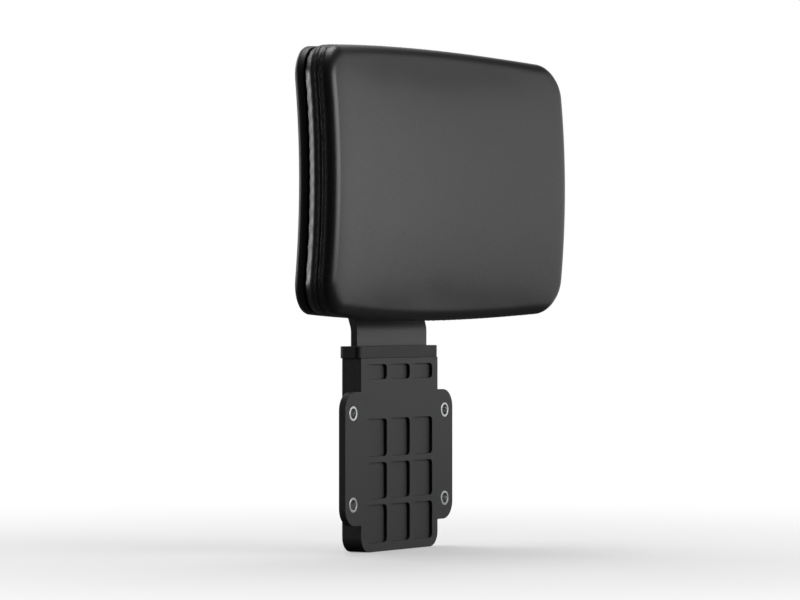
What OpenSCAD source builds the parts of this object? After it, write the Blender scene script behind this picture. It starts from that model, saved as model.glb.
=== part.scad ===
// Headrest attachment for an office chair: a receiver bolted behind the chair's back, a blade that
// slides in it and an upholstered pad that tilts on the blade's rolled eye.
// Millimetres. +Z is up, the pad faces -Y, +X is to the right seen from the front.
// The origin is the middle of the four bolt holes, on the face that meets the chair.

/* [Pad] */
// Width of the upholstered pad
pad_w = 300; // [290:1:320]
// Height of the pad at its middle
pad_h = 180; // [174:1:188]
// Corner radius of the pad's outline
pad_corner_r = 22; // [20:1:28]
// How far the top and bottom edges bow outwards at their middle
pad_edge_bow = 5; // [0:0.5:6]
// Rise of the front panel from its rolled edge to its middle
pad_crown = 3; // [2:0.5:6]
// How far the ends of the pad come forward of its middle
pad_wrap = 10; // [4:0.5:11]
// How far the top and bottom of the pad lie behind its middle
pad_bow = 6; // [4:0.5:6.5]
// Thickness of the sewn cover
cover_t = 1.5; // [1.2:0.1:1.6]
// Height of the pad's middle above the bolt pattern's middle
pad_z = 181; // [180:0.5:185]

/* [Blade] */
// Width of the strap
blade_w = 88; // [80:1:88]
// Thickness of the strap
blade_t = 5; // [4:0.1:5]
// Width of the rolled eye at the top
eye_w = 61; // [58:0.5:61]
// Angle at which the strap leans back between its two bends
blade_lean = 18; // [16:1:24]
// Radius of the bends at mid thickness
bend_r = 18; // [14:1:22]
// How far the pad can be raised
travel = 60; // [40:10:60]
// Distance between two heights at which it clicks
detent_pitch = 10; // [10:5:20]

/* [Tilt hinge] */
// Distance of the tilt axis behind the mounting face
axle_y = 20.5; // [19:0.5:24]
// Height of the tilt axis above the bolt pattern's middle
axle_z = 166; // [164:0.5:170]
// Shank diameter of the pivot bolt
axle_d = 8; // [8:1:8]
// Thickness of the bent lugs
lug_t = 3; // [2.5:0.1:3]
// Angle at which the stop on the lugs meets the blade when the pad leans back
tilt_back = 25; // [15:1:25]

/* [Receiver] */
// Distance between the bolt holes across the chair's back
bolt_spacing_x = 116; // [112:1:118]
// Distance between the bolt holes up the chair's back
bolt_spacing_z = 60; // [50:1:64]
// Diameter of the bolt holes, for M6
bolt_hole_d = 6.6; // [6.4:0.1:7]
// Distance between the mounting face and the front of the blade
blade_y = 6; // [6:0.1:6.5]
// Height of the bezel's top above the bolt pattern's middle
bezel_top = 74; // [72:1:82]

/* [Hidden] */
$fn = 48;
// Receiver
front_wall = blade_y - 1;
channel_d = blade_t + 2;
cover_y = front_wall + channel_d;
cover_wall = 3;
channel_half = blade_w / 2 + 0.5;
side_wall = 4;
body_half = channel_half + side_wall;
body_top = bezel_top - 4;
body_foot = -62;
channel_foot = -50;
flange_half = bolt_spacing_x / 2 + 10;
flange_h = bolt_spacing_z + 28;
glide_t = 0.8;
glide_w = 9;
glide_x = blade_w / 2 - 1 - glide_w / 2;
stop_x = 27;
stop_z = 40;
shoulder_r = 4;
foot_screw_x = 36;
foot_screw_z = -56;
bezel_z = bezel_top - 8;
bezel_wall = 1.8;
pocket_d = 2.2;
// Detent
spine_half = 13;
spine_low = -34;
spine_high = 56;
spine_y = cover_y + cover_wall + 7.5;
pocket_y = spine_y - 4;
detent_z = 40;
leaf_t = 0.8;
leaf_w = 12;
leaf_screw_z = -21;
window_w = 16;
window_h = 5;
// Blade
blade_foot = -46;
bend_z = 83;
slot_half = shoulder_r + 0.3;
strap_mid = blade_y + blade_t / 2;
lean_len = (axle_y - strap_mid - 2 * bend_r * (1 - cos(blade_lean))) / sin(blade_lean);
upper_z = bend_z + 2 * bend_r * sin(blade_lean) + lean_len * cos(blade_lean);
lower_centre = [strap_mid + bend_r, bend_z];
upper_centre = [axle_y - bend_r, upper_z];
eye_bore_r = axle_d / 2 + 2;
eye_r = eye_bore_r + blade_t;
neck_r = (blade_w - eye_w) / 2 - 2;
shoulder_top = axle_z - eye_r - 14;
// Pad: depths are measured backwards from the pad's front edge
pad_front_y = -32;
roll_w = 8;
roll_d = 6.5;
edge_d = 3.5;
panel_edge_d = edge_d - roll_d;
rear_roll_d = 14;
hem_d = 18.6;
hem_w = 18;
board_d = 10.2;
board_t = 6;
board_inset = 8.2;
foam_rear_d = board_d - 1;
shell_front_d = 18.95;
shell_rim_d = 26.2;
shell_rise = 3.6;
shell_t = 2.5;
shell_screw_x = 108;
shell_screw_z = 44;
// Lugs
lug_inner = eye_w / 2 + 1.5;
lug_outer = lug_inner + lug_t;
seat_d = 19;
seat_y = pad_front_y + seat_d;
lug_root = 23;
lug_screw_x = lug_inner - 12;
lug_screw_z = 15;
lug_tip_r = 10;
lug_bend_r = 2.5;
finger_len = 33;
finger_w = 7;
washer_t = 1.6;
disc_h = 1.5;

// Drawing planes

// A drawing in X and Z, made solid from y0 back to y1
module plate_xz(y0, y1) {
    translate([0, y1, 0]) rotate([90, 0, 0]) linear_extrude(y1 - y0) children();
}

// A drawing in Y and Z, made solid from x0 to x1
module profile_yz(x0, x1) {
    translate([x0, 0, 0]) rotate([90, 0, 90]) linear_extrude(x1 - x0) children();
}

// A round bar along Y
module bar_y(x, z, r, y0, y1) {
    translate([x, y1, z]) rotate([90, 0, 0]) cylinder(r = r, h = y1 - y0);
}

// A round bar along X
module bar_x(y, z, r, x0, x1) {
    translate([x0, y, z]) rotate([0, 90, 0]) cylinder(r = r, h = x1 - x0);
}

module rounded_rect(x0, z0, x1, z1, r) {
    translate([x0 + r, z0]) square([x1 - x0 - 2 * r, z1 - z0]);
    translate([x0, z0 + r]) square([x1 - x0, z1 - z0 - 2 * r]);
    for (x = [x0 + r, x1 - r], z = [z0 + r, z1 - r]) translate([x, z]) circle(r = r);
}

// An upright slot with round ends
module stadium(z0, z1, r) {
    translate([-r, z0 + r]) square([2 * r, z1 - z0 - 2 * r]);
    for (z = [z0 + r, z1 - r]) translate([0, z]) circle(r = r);
}

// Pad surfaces: every layer is a stack of rings that follow the pad's outline and its curves

// How far a point of the pad lies behind the pad's middle
function pad_curve(x, z) = pad_bow * pow(2 * z / pad_h, 2) - pad_wrap * pow(2 * x / pad_w, 2);

function pad_point(x, z, d) = [x, pad_front_y + d + pad_curve(x, z), pad_z + z];

function run(from, to, steps) = [for (i = [0 : steps - 1]) from + (to - from) * i / steps];

function corner(x, z, r, from, steps) =
    [for (i = [0 : steps - 1]) [x + r * cos(from + 90 * i / steps), z + r * sin(from + 90 * i / steps)]];

// The pad's outline drawn in by an inset and shrunk about the pad's middle
function outline(inset, shrink) =
    let (
        a = pad_w / 2 - inset,
        b = pad_h / 2 - pad_edge_bow - inset,
        r = max(pad_corner_r - inset, 4),
        loop = concat(
            run([a, r - b], [a, b - r], 4), corner(a - r, b - r, r, 0, 6),
            run([a - r, b], [r - a, b], 10), corner(r - a, b - r, r, 90, 6),
            run([-a, b - r], [-a, r - b], 4), corner(r - a, r - b, r, 180, 6),
            run([r - a, -b], [a - r, -b], 10), corner(a - r, r - b, r, 270, 6)
        )
    )
    [for (p = loop) shrink * [p[0], p[1] * (1 + pad_edge_bow / b * (1 - pow(p[0] / a, 2)))]];

// A closed body from rings of [inset, shrink, depth], front middle first and rear middle last
module pad_layer(rings, front_d, rear_d) {
    loops = [for (ring = rings) [for (p = outline(ring[0], ring[1])) pad_point(p[0], p[1], ring[2])]];
    n = len(loops[0]);
    m = len(loops);
    points = concat([for (loop = loops) each loop], [pad_point(0, 0, front_d), pad_point(0, 0, rear_d)]);
    walls = [
        for (k = [0 : m - 2], i = [0 : n - 1])
            let (a = k * n + i, b = k * n + (i + 1) % n)
                each [[a, b, b + n], [a, b + n, a + n]]
    ];
    front = [for (i = [0 : n - 1]) [m * n, (i + 1) % n, i]];
    rear = [for (i = [0 : n - 1]) [m * n + 1, (m - 1) * n + i, (m - 1) * n + (i + 1) % n]];
    polyhedron(points = points, faces = concat(walls, front, rear));
}

// Depth of the crowned front panel at a shrink factor
function panel_d(shrink) = panel_edge_d - pad_crown * (1 - shrink * shrink);

// The rolled edge between the front panel and the side wall, for a layer that lies under the surface
function edge_roll(under, steps) =
    [for (i = [1 : steps])
        let (turn = 90 * i / steps)
            [roll_w - (roll_w - under) * sin(turn), 1, edge_d - (roll_d - under) * cos(turn)]];

// Depth of the rear shell's back at a shrink factor
function shell_d(shrink) = shell_rim_d + shell_rise * (1 - shrink * shrink);

// Receiver

module each_bolt() {
    for (x = [-1, 1], z = [-1, 1]) translate([x * bolt_spacing_x / 2, 0, z * bolt_spacing_z / 2]) children();
}

module each_foot_screw() {
    for (x = [-foot_screw_x, foot_screw_x]) translate([x, 0, foot_screw_z]) children();
}

// Outline of the receiver's body, square at the top where the bezel sits
module body_outline() {
    rounded_rect(-body_half, body_foot, body_half, 0, 10);
    translate([-body_half, -20]) square([2 * body_half, body_top + 20]);
}

// Webs that brace the side walls on the flanges
module flange_webs() {
    for (side = [0, 1], z = [-flange_h / 2 + 2.5, 0, flange_h / 2 - 2.5])
        mirror([side, 0, 0]) translate([0, 0, z - 1.5]) linear_extrude(3) polygon([
            [body_half - 1, front_wall], [flange_half - 13, front_wall],
            [flange_half - 13, front_wall + 0.5], [body_half - 1, cover_y - 1]
        ]);
}

// Moulded pockets that lighten the mounting face and leave a grid of ribs, solid round the inserts
module face_pockets() {
    for (x = [-29, 0, 29], row = [[-56, -31], [-27, -3], [1, 26], [52, bezel_z - 4]])
        rounded_rect(x - 12.5, row[0], x + 12.5, row[1], 3);
}

module receiver_base() {
    color("#1d1d1f") difference() {
        plate_xz(0, front_wall) {
            body_outline();
            rounded_rect(-flange_half, -flange_h / 2, flange_half, flange_h / 2, 12);
        }
        translate([-body_half - 1, -1, bezel_z]) cube([2 * body_half + 2, bezel_wall + 1, 20]);
        plate_xz(-1, pocket_d) face_pockets();
        each_bolt() bar_y(0, 0, bolt_hole_d / 2 + 1.7, -1, front_wall + 1);
        for (x = [-stop_x, stop_x]) bar_y(x, stop_z, 3.5, 0.8, front_wall + 1);
        each_foot_screw() bar_y(0, 0, 1.5, 3, cover_y + 1);
    }
}

// The frame between the base and the cover: two side walls and a foot round the blade's channel
module channel_frame() {
    color("#1d1d1f") difference() {
        union() {
            plate_xz(front_wall, cover_y) difference() {
                body_outline();
                translate([-channel_half, channel_foot]) square([2 * channel_half, body_top - channel_foot + 20]);
            }
            flange_webs();
        }
        each_foot_screw() bar_y(0, 0, 1.5, 3, cover_y + 1);
    }
}

module receiver_cover() {
    color("#202022") difference() {
        union() {
            plate_xz(cover_y, cover_y + cover_wall) body_outline();
            plate_xz(cover_y + 1, spine_y)
                rounded_rect(-spine_half, spine_low, spine_half, spine_high, 10);
        }
        plate_xz(cover_y - 1, pocket_y)
            rounded_rect(-spine_half + 4, spine_low + 4, spine_half - 4, spine_high - 4, 5);
        bar_y(0, leaf_screw_z, 1.65, pocket_y - 1, spine_y - 1);
        for (x = [-stop_x, stop_x]) bar_y(x, stop_z, shoulder_r + 0.1, cover_y - 1, cover_y + cover_wall + 1);
        each_foot_screw() bar_y(0, 0, 1.8, cover_y - 1, cover_y + cover_wall + 1);
    }
}

module top_bezel() {
    color("#161618") difference() {
        translate([0, 0, bezel_z]) linear_extrude(bezel_top - bezel_z)
            rounded_rect(-body_half - bezel_wall, 0, body_half + bezel_wall, cover_y + cover_wall + bezel_wall, 4);
        translate([-body_half, bezel_wall, bezel_z - 1])
            cube([2 * body_half, cover_y + cover_wall - bezel_wall, body_top - bezel_z + 1]);
        translate([-channel_half, front_wall + 0.5, bezel_z]) cube([2 * channel_half, channel_d - 1, 20]);
    }
}

module mount_sleeves() {
    color("#9a9c9f") each_bolt() difference() {
        bar_y(0, 0, bolt_hole_d / 2 + 1.7, 0, front_wall);
        bar_y(0, 0, bolt_hole_d / 2, -1, front_wall + 1);
    }
}

module glide_pair(y0) {
    for (side = [-1, 1]) plate_xz(y0, y0 + glide_t)
        rounded_rect(side * glide_x - glide_w / 2, channel_foot + 3, side * glide_x + glide_w / 2, body_top - 4, 2);
}

module front_glides() {
    color("#d8d6cf") glide_pair(front_wall);
}

module rear_glides() {
    color("#d8d6cf") glide_pair(cover_y - glide_t);
}

module stop_screws() {
    color("#8d9094") for (x = [-stop_x, stop_x]) difference() {
        union() {
            bar_y(x, stop_z, shoulder_r, front_wall, cover_y + cover_wall);
            bar_y(x, stop_z, 2.4, 1.2, front_wall + 1);
            bar_y(x, stop_z, 6.5, cover_y + cover_wall, cover_y + cover_wall + 3.4);
        }
        translate([x, cover_y + cover_wall + 5, stop_z]) rotate([90, 0, 0]) cylinder(r = 2.3, h = 4, $fn = 6);
    }
}

module stop_inserts() {
    color("#b08d4a") for (x = [-stop_x, stop_x]) difference() {
        bar_y(x, stop_z, 3.5, 0.8, front_wall);
        bar_y(x, stop_z, 2.5, 0, front_wall + 1);
    }
}

module cover_screws() {
    color("#8d9094") each_foot_screw() difference() {
        union() {
            bar_y(0, 0, 1.4, 4, cover_y + cover_wall + 1);
            bar_y(0, 0, 3.4, cover_y + cover_wall, cover_y + cover_wall + 2.3);
        }
        translate([0, cover_y + cover_wall + 3, 0]) rotate([90, 0, 0]) cylinder(r = 1.5, h = 2, $fn = 6);
    }
}

// Middle line of the leaf spring in Y and Z, from its fixed end up over the bump that clicks into the blade
leaf_line = concat(
    [[pocket_y - leaf_t / 2, spine_low + 6], [pocket_y - leaf_t / 2, leaf_screw_z + 6]],
    [[cover_y + 0.4, detent_z - 7]],
    [for (i = [-6 : 6]) [cover_y + 0.4 - 1.5 * (1 + cos(30 * i)), detent_z + i * 0.53]],
    [[cover_y + 0.6, detent_z + 6], [cover_y + 2.5, detent_z + 9]]
);

// The edge of a strip, moved sideways from its middle line
function strip_edge(line, shift) =
    [for (i = [0 : len(line) - 1])
        let (
            along = line[min(i + 1, len(line) - 1)] - line[max(i - 1, 0)],
            unit = along / norm(along)
        )
            line[i] + shift * [unit[1], -unit[0]]];

module detent_spring() {
    near = strip_edge(leaf_line, -leaf_t / 2);
    far = strip_edge(leaf_line, leaf_t / 2);
    color("#7f8388") difference() {
        profile_yz(-leaf_w / 2, leaf_w / 2)
            polygon(concat(near, [for (i = [len(far) - 1 : -1 : 0]) far[i]]));
        bar_y(0, leaf_screw_z, 1.8, pocket_y - 3, pocket_y + 3);
    }
}

module detent_spring_screw() {
    color("#8d9094") union() {
        bar_y(0, leaf_screw_z, 1.6, pocket_y - leaf_t - 1, spine_y - 1.5);
        bar_y(0, leaf_screw_z, 3.2, pocket_y - leaf_t - 1.9, pocket_y - leaf_t);
    }
}

// Blade

// Points along one side of a bend in the strap
function bend(centre, r, from, to) =
    [for (i = [0 : 6]) let (turn = from + (to - from) * i / 6) centre + r * [cos(turn), sin(turn)]];

module strap_profile() {
    outer = bend_r + blade_t / 2;
    inner = bend_r - blade_t / 2;
    difference() {
        union() {
            polygon(concat(
                [[blade_y, blade_foot], [blade_y + blade_t, blade_foot]],
                bend(lower_centre, inner, 180, 180 - blade_lean),
                bend(upper_centre, outer, -blade_lean, 0),
                [[axle_y + blade_t / 2, axle_z], [axle_y - blade_t / 2, axle_z]],
                bend(upper_centre, inner, 0, -blade_lean),
                bend(lower_centre, outer, 180 - blade_lean, 180)
            ));
            translate([axle_y, axle_z]) circle(r = eye_r, $fn = 64);
        }
        translate([axle_y, axle_z]) circle(r = eye_bore_r);
    }
}

module strap_outline() {
    difference() {
        union() {
            rounded_rect(-blade_w / 2, blade_foot, blade_w / 2, shoulder_top, neck_r);
            translate([-eye_w / 2, 0]) square([eye_w, axle_z + eye_r + 20]);
        }
        for (x = [-stop_x, stop_x]) translate([x, 0])
            stadium(stop_z - travel - slot_half, stop_z + slot_half, slot_half);
        for (z = [0 : detent_pitch : travel]) translate([-window_w / 2, detent_z - z - window_h / 2])
            square([window_w, window_h]);
    }
}

module blade() {
    color("#1a1a1c") intersection() {
        profile_yz(-blade_w / 2 - 5, blade_w / 2 + 5) strap_profile();
        plate_xz(blade_y - 5, axle_y + eye_r + 5) strap_outline();
    }
}

module eye_bushes() {
    color("#e4e1d8") for (side = [0, 1]) mirror([side, 0, 0]) difference() {
        union() {
            bar_x(axle_y, axle_z, eye_bore_r, eye_w / 2 - 16, eye_w / 2 + 0.6);
            bar_x(axle_y, axle_z, eye_bore_r + 3, eye_w / 2, eye_w / 2 + 1.2);
        }
        bar_x(axle_y, axle_z, axle_d / 2 + 0.05, eye_w / 2 - 20, eye_w / 2 + 5);
    }
}

// Tilt hinge

// Where a straight edge from a point leaves a circle
function touch(from, centre, r, side) =
    let (
        way = from - centre,
        turn = atan2(way[1], way[0]) + side * acos(r / norm(way))
    )
    centre + r * [cos(turn), sin(turn)];

// Side of a lug: a wide root on the board that narrows to a round end on the axle, and a finger below it
// that meets the back of the blade when the pad has leaned back as far as it goes
module lug_side() {
    low = [seat_y + 8, axle_z - lug_root];
    high = [seat_y + 8, axle_z + lug_root];
    polygon([
        [seat_y - 1, low[1]], low, touch(low, [axle_y, axle_z], lug_tip_r, 1),
        touch(high, [axle_y, axle_z], lug_tip_r, -1), high, [seat_y - 1, high[1]]
    ]);
    translate([axle_y, axle_z]) circle(r = lug_tip_r);
    translate([axle_y, axle_z]) rotate(tilt_back) translate([blade_t / 2 + 0.4, -finger_len])
        square([finger_w, finger_len]);
}

// Section of a lug: a foot on the board and a wall turned back at a bend
module lug_section() {
    translate([lug_inner - 26, seat_y]) square([26 - lug_bend_r, lug_t]);
    translate([lug_inner, seat_y + lug_t + lug_bend_r]) square([lug_t, 60]);
    translate([lug_inner - lug_bend_r, seat_y + lug_t + lug_bend_r]) intersection() {
        difference() {
            circle(r = lug_bend_r + lug_t);
            circle(r = lug_bend_r);
        }
        translate([0, -20]) square([20, 20]);
    }
}

module tilt_bracket() {
    difference() {
        intersection() {
            translate([0, 0, axle_z - finger_len - 5]) linear_extrude(finger_len + lug_root + 5) lug_section();
            profile_yz(0, lug_outer) lug_side();
        }
        bar_x(axle_y, axle_z, axle_d / 2 + 0.1, 0, lug_outer + 5);
        for (z = [-lug_screw_z, lug_screw_z])
            bar_y(lug_screw_x, axle_z + z, 3.3, seat_y - 5, seat_y + 10);
    }
}

module right_tilt_bracket() {
    color("#1a1a1c") tilt_bracket();
}

module left_tilt_bracket() {
    color("#1a1a1c") mirror([1, 0, 0]) tilt_bracket();
}

module each_lug_screw() {
    for (x = [-lug_screw_x, lug_screw_x], z = [-lug_screw_z, lug_screw_z]) translate([x, 0, axle_z + z]) children();
}

module bracket_screws() {
    color("#8d9094") each_lug_screw() difference() {
        union() {
            bar_y(0, 0, 2.9, seat_y - 7.5, seat_y + lug_t + 1);
            bar_y(0, 0, 5, seat_y + lug_t, seat_y + lug_t + 2.8);
        }
        translate([0, seat_y + lug_t + 4, 0]) rotate([90, 0, 0]) cylinder(r = 2.3, h = 3.2, $fn = 6);
    }
}

module tee_nuts() {
    color("#a5a7a9") each_lug_screw() difference() {
        union() {
            bar_y(0, 0, 8, seat_y - 8.2, seat_y - 7);
            bar_y(0, 0, 3.9, seat_y - 8.2, seat_y - 0.5);
        }
        bar_y(0, 0, 3, seat_y - 10, seat_y);
    }
}

module tilt_axle() {
    head = -lug_outer - washer_t;
    color("#8d9094") difference() {
        union() {
            bar_x(axle_y, axle_z, axle_d / 2, head - 1, lug_outer + washer_t + 2 * disc_h + 9);
            bar_x(axle_y, axle_z, 6.5, head - 5, head);
        }
        translate([head - 6, axle_y, axle_z]) rotate([0, 90, 0]) cylinder(r = 2.9, h = 4, $fn = 6);
    }
}

module axle_washers() {
    color("#a5a7a9") for (x = [-lug_outer - washer_t, lug_outer]) difference() {
        bar_x(axle_y, axle_z, 8.5, x, x + washer_t);
        bar_x(axle_y, axle_z, axle_d / 2 + 0.2, x - 1, x + washer_t + 1);
    }
}

// Two disc springs, set rim to rim
module spring_washers() {
    start = lug_outer + washer_t;
    color("#7f8388") translate([start, axle_y, axle_z]) rotate([0, 90, 0]) {
        rotate_extrude() polygon([[4.3, 0], [7.9, disc_h - 0.9], [7.9, disc_h], [4.3, 0.9]]);
        rotate_extrude() polygon([[4.3, 2 * disc_h], [4.3, 2 * disc_h - 0.9], [7.9, disc_h], [7.9, disc_h + 0.9]]);
    }
}

module axle_nut() {
    start = lug_outer + washer_t + 2 * disc_h;
    color("#a5a7a9") difference() {
        union() {
            translate([start, axle_y, axle_z]) rotate([0, 90, 0]) cylinder(r = 7.5, h = 6, $fn = 6);
            bar_x(axle_y, axle_z, 6, start + 5, start + 8);
        }
        bar_x(axle_y, axle_z, axle_d / 2 + 0.05, start - 1, start + 10);
    }
}

// Pad

module each_shell_screw() {
    for (x = [-shell_screw_x, shell_screw_x], z = [-shell_screw_z, shell_screw_z])
        translate([x, pad_front_y + pad_curve(x, z), pad_z + z]) children();
}

module carrier_board() {
    face = [[0.3, board_d], [0.7, board_d], [1, board_d]];
    back = [[1, board_d + board_t], [0.7, board_d + board_t], [0.3, board_d + board_t]];
    color("#b89468") difference() {
        union() {
            pad_layer([for (f = concat(face, back)) [board_inset, f[0], f[1]]], board_d, board_d + board_t);
            plate_xz(pad_front_y + board_d + 3, seat_y)
                rounded_rect(-lug_outer - 6, axle_z - lug_root - 6, lug_outer + 6, axle_z + lug_root + 6, 8);
        }
        each_lug_screw() {
            bar_y(0, 0, 4, seat_y - 15, seat_y + 1);
            bar_y(0, 0, 8.2, seat_y - 15, seat_y - 6.9);
        }
        each_shell_screw() bar_y(0, 0, 2, board_d + 0.6, board_d + 20);
    }
}

module foam_core() {
    under = cover_t + 0.4;
    color("#d9cfae") pad_layer(
        concat(
            [for (s = [0.35, 0.72, 1]) [roll_w, s, panel_d(s) + under]],
            edge_roll(under, 3),
            [
                [under, 1, rear_roll_d], [6, 1, hem_d - under],
                [board_inset - 0.3, 1, hem_d - under]
            ],
            [for (s = [1, 0.7, 0.3]) [board_inset - 0.3, s, foam_rear_d]]
        ),
        panel_d(0) + under, foam_rear_d
    );
}

module pad_cover() {
    color("#161617") pad_layer(
        concat(
            [for (s = [0.25, 0.5, 0.72, 0.88, 1]) [roll_w, s, panel_d(s)]],
            edge_roll(0, 4),
            [
                [0, 1, 9], [0, 1, rear_roll_d], [1.6, 1, 17.2], [5, 1, hem_d],
                [hem_w, 1, hem_d], [hem_w, 1, hem_d - cover_t],
                [6, 1, hem_d - cover_t], [cover_t, 1, rear_roll_d]
            ],
            [for (i = [3 : -1 : 1]) edge_roll(cover_t, 3)[i - 1]],
            [for (s = [1, 0.72, 0.35]) [roll_w, s, panel_d(s) + cover_t]]
        ),
        panel_d(0), panel_d(0) + cover_t
    );
}

module staple() {
    translate([-5, 0, -0.5]) cube([10, 0.7, 1]);
    for (x = [-5, 4.3]) translate([x, -6, -0.5]) cube([0.7, 6.2, 1]);
}

// Staples along all four edges of the hem
module cover_staples() {
    reach = hem_w - 5;
    color("#b9bbbd") {
        for (x = [-110 : 22 : 110], side = [-1, 1])
            let (z = side * (pad_h / 2 - reach - pad_edge_bow * pow(2 * x / pad_w, 2)))
                translate(pad_point(x, z, hem_d + 0.4)) staple();
        for (z = [-40 : 20 : 40], side = [-1, 1])
            translate(pad_point(side * (pad_w / 2 - reach), z, hem_d + 0.4)) rotate([0, 90, 0]) staple();
    }
}

module rear_shell() {
    color("#1b1b1d") difference() {
        union() {
            pad_layer(
                concat(
                    [for (s = [0.3, 0.65, 0.92]) [6.5, s, shell_d(s) - shell_t]],
                    [[5.5, 1, shell_rim_d - shell_t - 0.6], [3.2, 1, shell_rim_d - 4.6], [3, 1, shell_front_d]],
                    [[0.9, 1, shell_front_d], [0.3, 1, shell_front_d + 0.7], [0.3, 1, shell_rim_d - 3.2]],
                    [[1.3, 1, shell_rim_d - 1.1], [3.4, 1, shell_rim_d - 0.1]],
                    [for (s = [0.985, 0.85, 0.6, 0.3]) [4, s, shell_d(s)]]
                ),
                shell_d(0) - shell_t, shell_d(0)
            );
            each_shell_screw() bar_y(0, 0, 5.5, board_d + board_t + 1.1, shell_rim_d);
        }
        each_shell_screw() {
            bar_y(0, 0, 2.2, board_d, shell_rim_d + 10);
            bar_y(0, 0, 4.6, shell_rim_d - 3, shell_rim_d + 10);
        }
        for (side = [-1, 1]) plate_xz(seat_y + lug_t + 1, axle_y)
            rounded_rect(side * (lug_inner + lug_t / 2) - lug_t / 2 - 0.8, axle_z - lug_root - 0.5,
                side * (lug_inner + lug_t / 2) + lug_t / 2 + 0.8, axle_z + lug_root + 0.5, 1.5);
    }
}

module shell_screws() {
    color("#8d9094") each_shell_screw() difference() {
        union() {
            bar_y(0, 0, 1.9, board_d + 1, shell_rim_d - 2);
            bar_y(0, 0, 4.1, shell_rim_d - 3, shell_rim_d - 0.6);
        }
        translate([0, shell_rim_d, 0]) rotate([90, 0, 0]) cylinder(r = 1.8, h = 2, $fn = 6);
    }
}

receiver_base();
channel_frame();
receiver_cover();
top_bezel();
mount_sleeves();
front_glides();
rear_glides();
stop_screws();
stop_inserts();
cover_screws();
detent_spring();
detent_spring_screw();
blade();
eye_bushes();
left_tilt_bracket();
right_tilt_bracket();
bracket_screws();
tee_nuts();
carrier_board();
foam_core();
pad_cover();
cover_staples();
rear_shell();
shell_screws();
tilt_axle();
axle_washers();
spring_washers();
axle_nut();
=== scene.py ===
"""Looks of a chair headrest attachment: an upholstered pad tilts on a strap that slides in a receiver."""

import math

import bmesh
import bpy
import numpy as np
from mathutils import Matrix, Vector


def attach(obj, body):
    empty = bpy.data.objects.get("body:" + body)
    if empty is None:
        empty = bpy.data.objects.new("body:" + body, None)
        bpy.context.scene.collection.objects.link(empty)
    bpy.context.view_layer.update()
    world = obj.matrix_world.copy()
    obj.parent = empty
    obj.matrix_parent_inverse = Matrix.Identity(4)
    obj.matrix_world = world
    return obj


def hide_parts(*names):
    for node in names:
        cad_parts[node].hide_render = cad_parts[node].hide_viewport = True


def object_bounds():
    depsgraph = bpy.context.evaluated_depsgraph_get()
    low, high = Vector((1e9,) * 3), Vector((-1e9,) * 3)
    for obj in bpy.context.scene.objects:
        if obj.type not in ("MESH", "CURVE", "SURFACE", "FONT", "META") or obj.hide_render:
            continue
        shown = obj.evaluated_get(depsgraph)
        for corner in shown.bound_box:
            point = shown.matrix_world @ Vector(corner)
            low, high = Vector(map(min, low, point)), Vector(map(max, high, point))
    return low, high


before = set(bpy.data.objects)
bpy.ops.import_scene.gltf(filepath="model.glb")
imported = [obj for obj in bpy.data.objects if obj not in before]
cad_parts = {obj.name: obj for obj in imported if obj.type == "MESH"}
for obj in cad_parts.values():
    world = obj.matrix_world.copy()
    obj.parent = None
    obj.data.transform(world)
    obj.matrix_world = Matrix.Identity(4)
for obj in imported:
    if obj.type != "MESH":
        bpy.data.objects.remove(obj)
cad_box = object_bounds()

MM = 0.001

# Sizes of the pad, in millimetres, as in the part's source
PAD_W = 300.0
PAD_H = 180.0
PAD_Z = 181.0
PAD_FRONT_Y = -32.0
CORNER_R = 22.0
CORNER_LEAST = 4.0
EDGE_BOW = 5.0
PAD_CROWN = 3.0
PAD_WRAP = 10.0
PAD_BOW = 6.0
COVER_T = 1.5
ROLL_W = 8.0
ROLL_D = 6.5
EDGE_D = 3.5
HEM_D = 18.6
HEM_START = 4.2
HEM_W = 18.0
BOARD_D = 10.2
BOARD_T = 6.0
BOARD_INSET = 8.2
SHELL_RIM_D = 26.2
SHELL_RIM_W = 4.0
SHELL_RISE = 3.6
SHELL_FULLNESS = 2.2
SHELL_T = 2.4
SHELL_SCREW = (108.0, 44.0)
SHELL_SCREW_D = SHELL_RIM_D - 3.0

# Sizes of the hinge and the receiver
AXLE_Y = 20.5
AXLE_Z = 166.0
AXLE_R = 4.0
THREAD_PITCH = 1.25
LUG_INNER = 32.0
LUG_OUTER = 35.0
LUG_ROOT = 23.0
LUG_T = 3.0
LUG_SPOTS = [(x, z) for x in (-20.0, 20.0) for z in (AXLE_Z - 15.0, AXLE_Z + 15.0)]
WASHER_T = 1.6
DISC_H = 1.5
SEAT_Y = -13.0
RECEIVER_BACK_Y = 15.0


# Node trees


def maths(operation, swapped=False):
    """An operator between a wire and a wire or number, which adds a Math node to the wire's tree."""

    def act(wire, other=0.0):
        pair = (other, wire) if swapped else (wire, other)
        return wire.tree.math(operation, *pair)

    return act


class Wire:
    """One output of a node, on which arithmetic can be done."""

    def __init__(self, tree, node, output):
        self.tree = tree
        self.node = node
        self.socket = node.outputs[output]

    def __getitem__(self, output):
        return Wire(self.tree, self.node, output)

    __add__ = __radd__ = maths("ADD")
    __mul__ = __rmul__ = maths("MULTIPLY")
    __sub__ = maths("SUBTRACT")
    __rsub__ = maths("SUBTRACT", swapped=True)
    __truediv__ = maths("DIVIDE")
    __pow__ = maths("POWER")
    __abs__ = maths("ABSOLUTE")


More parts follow.
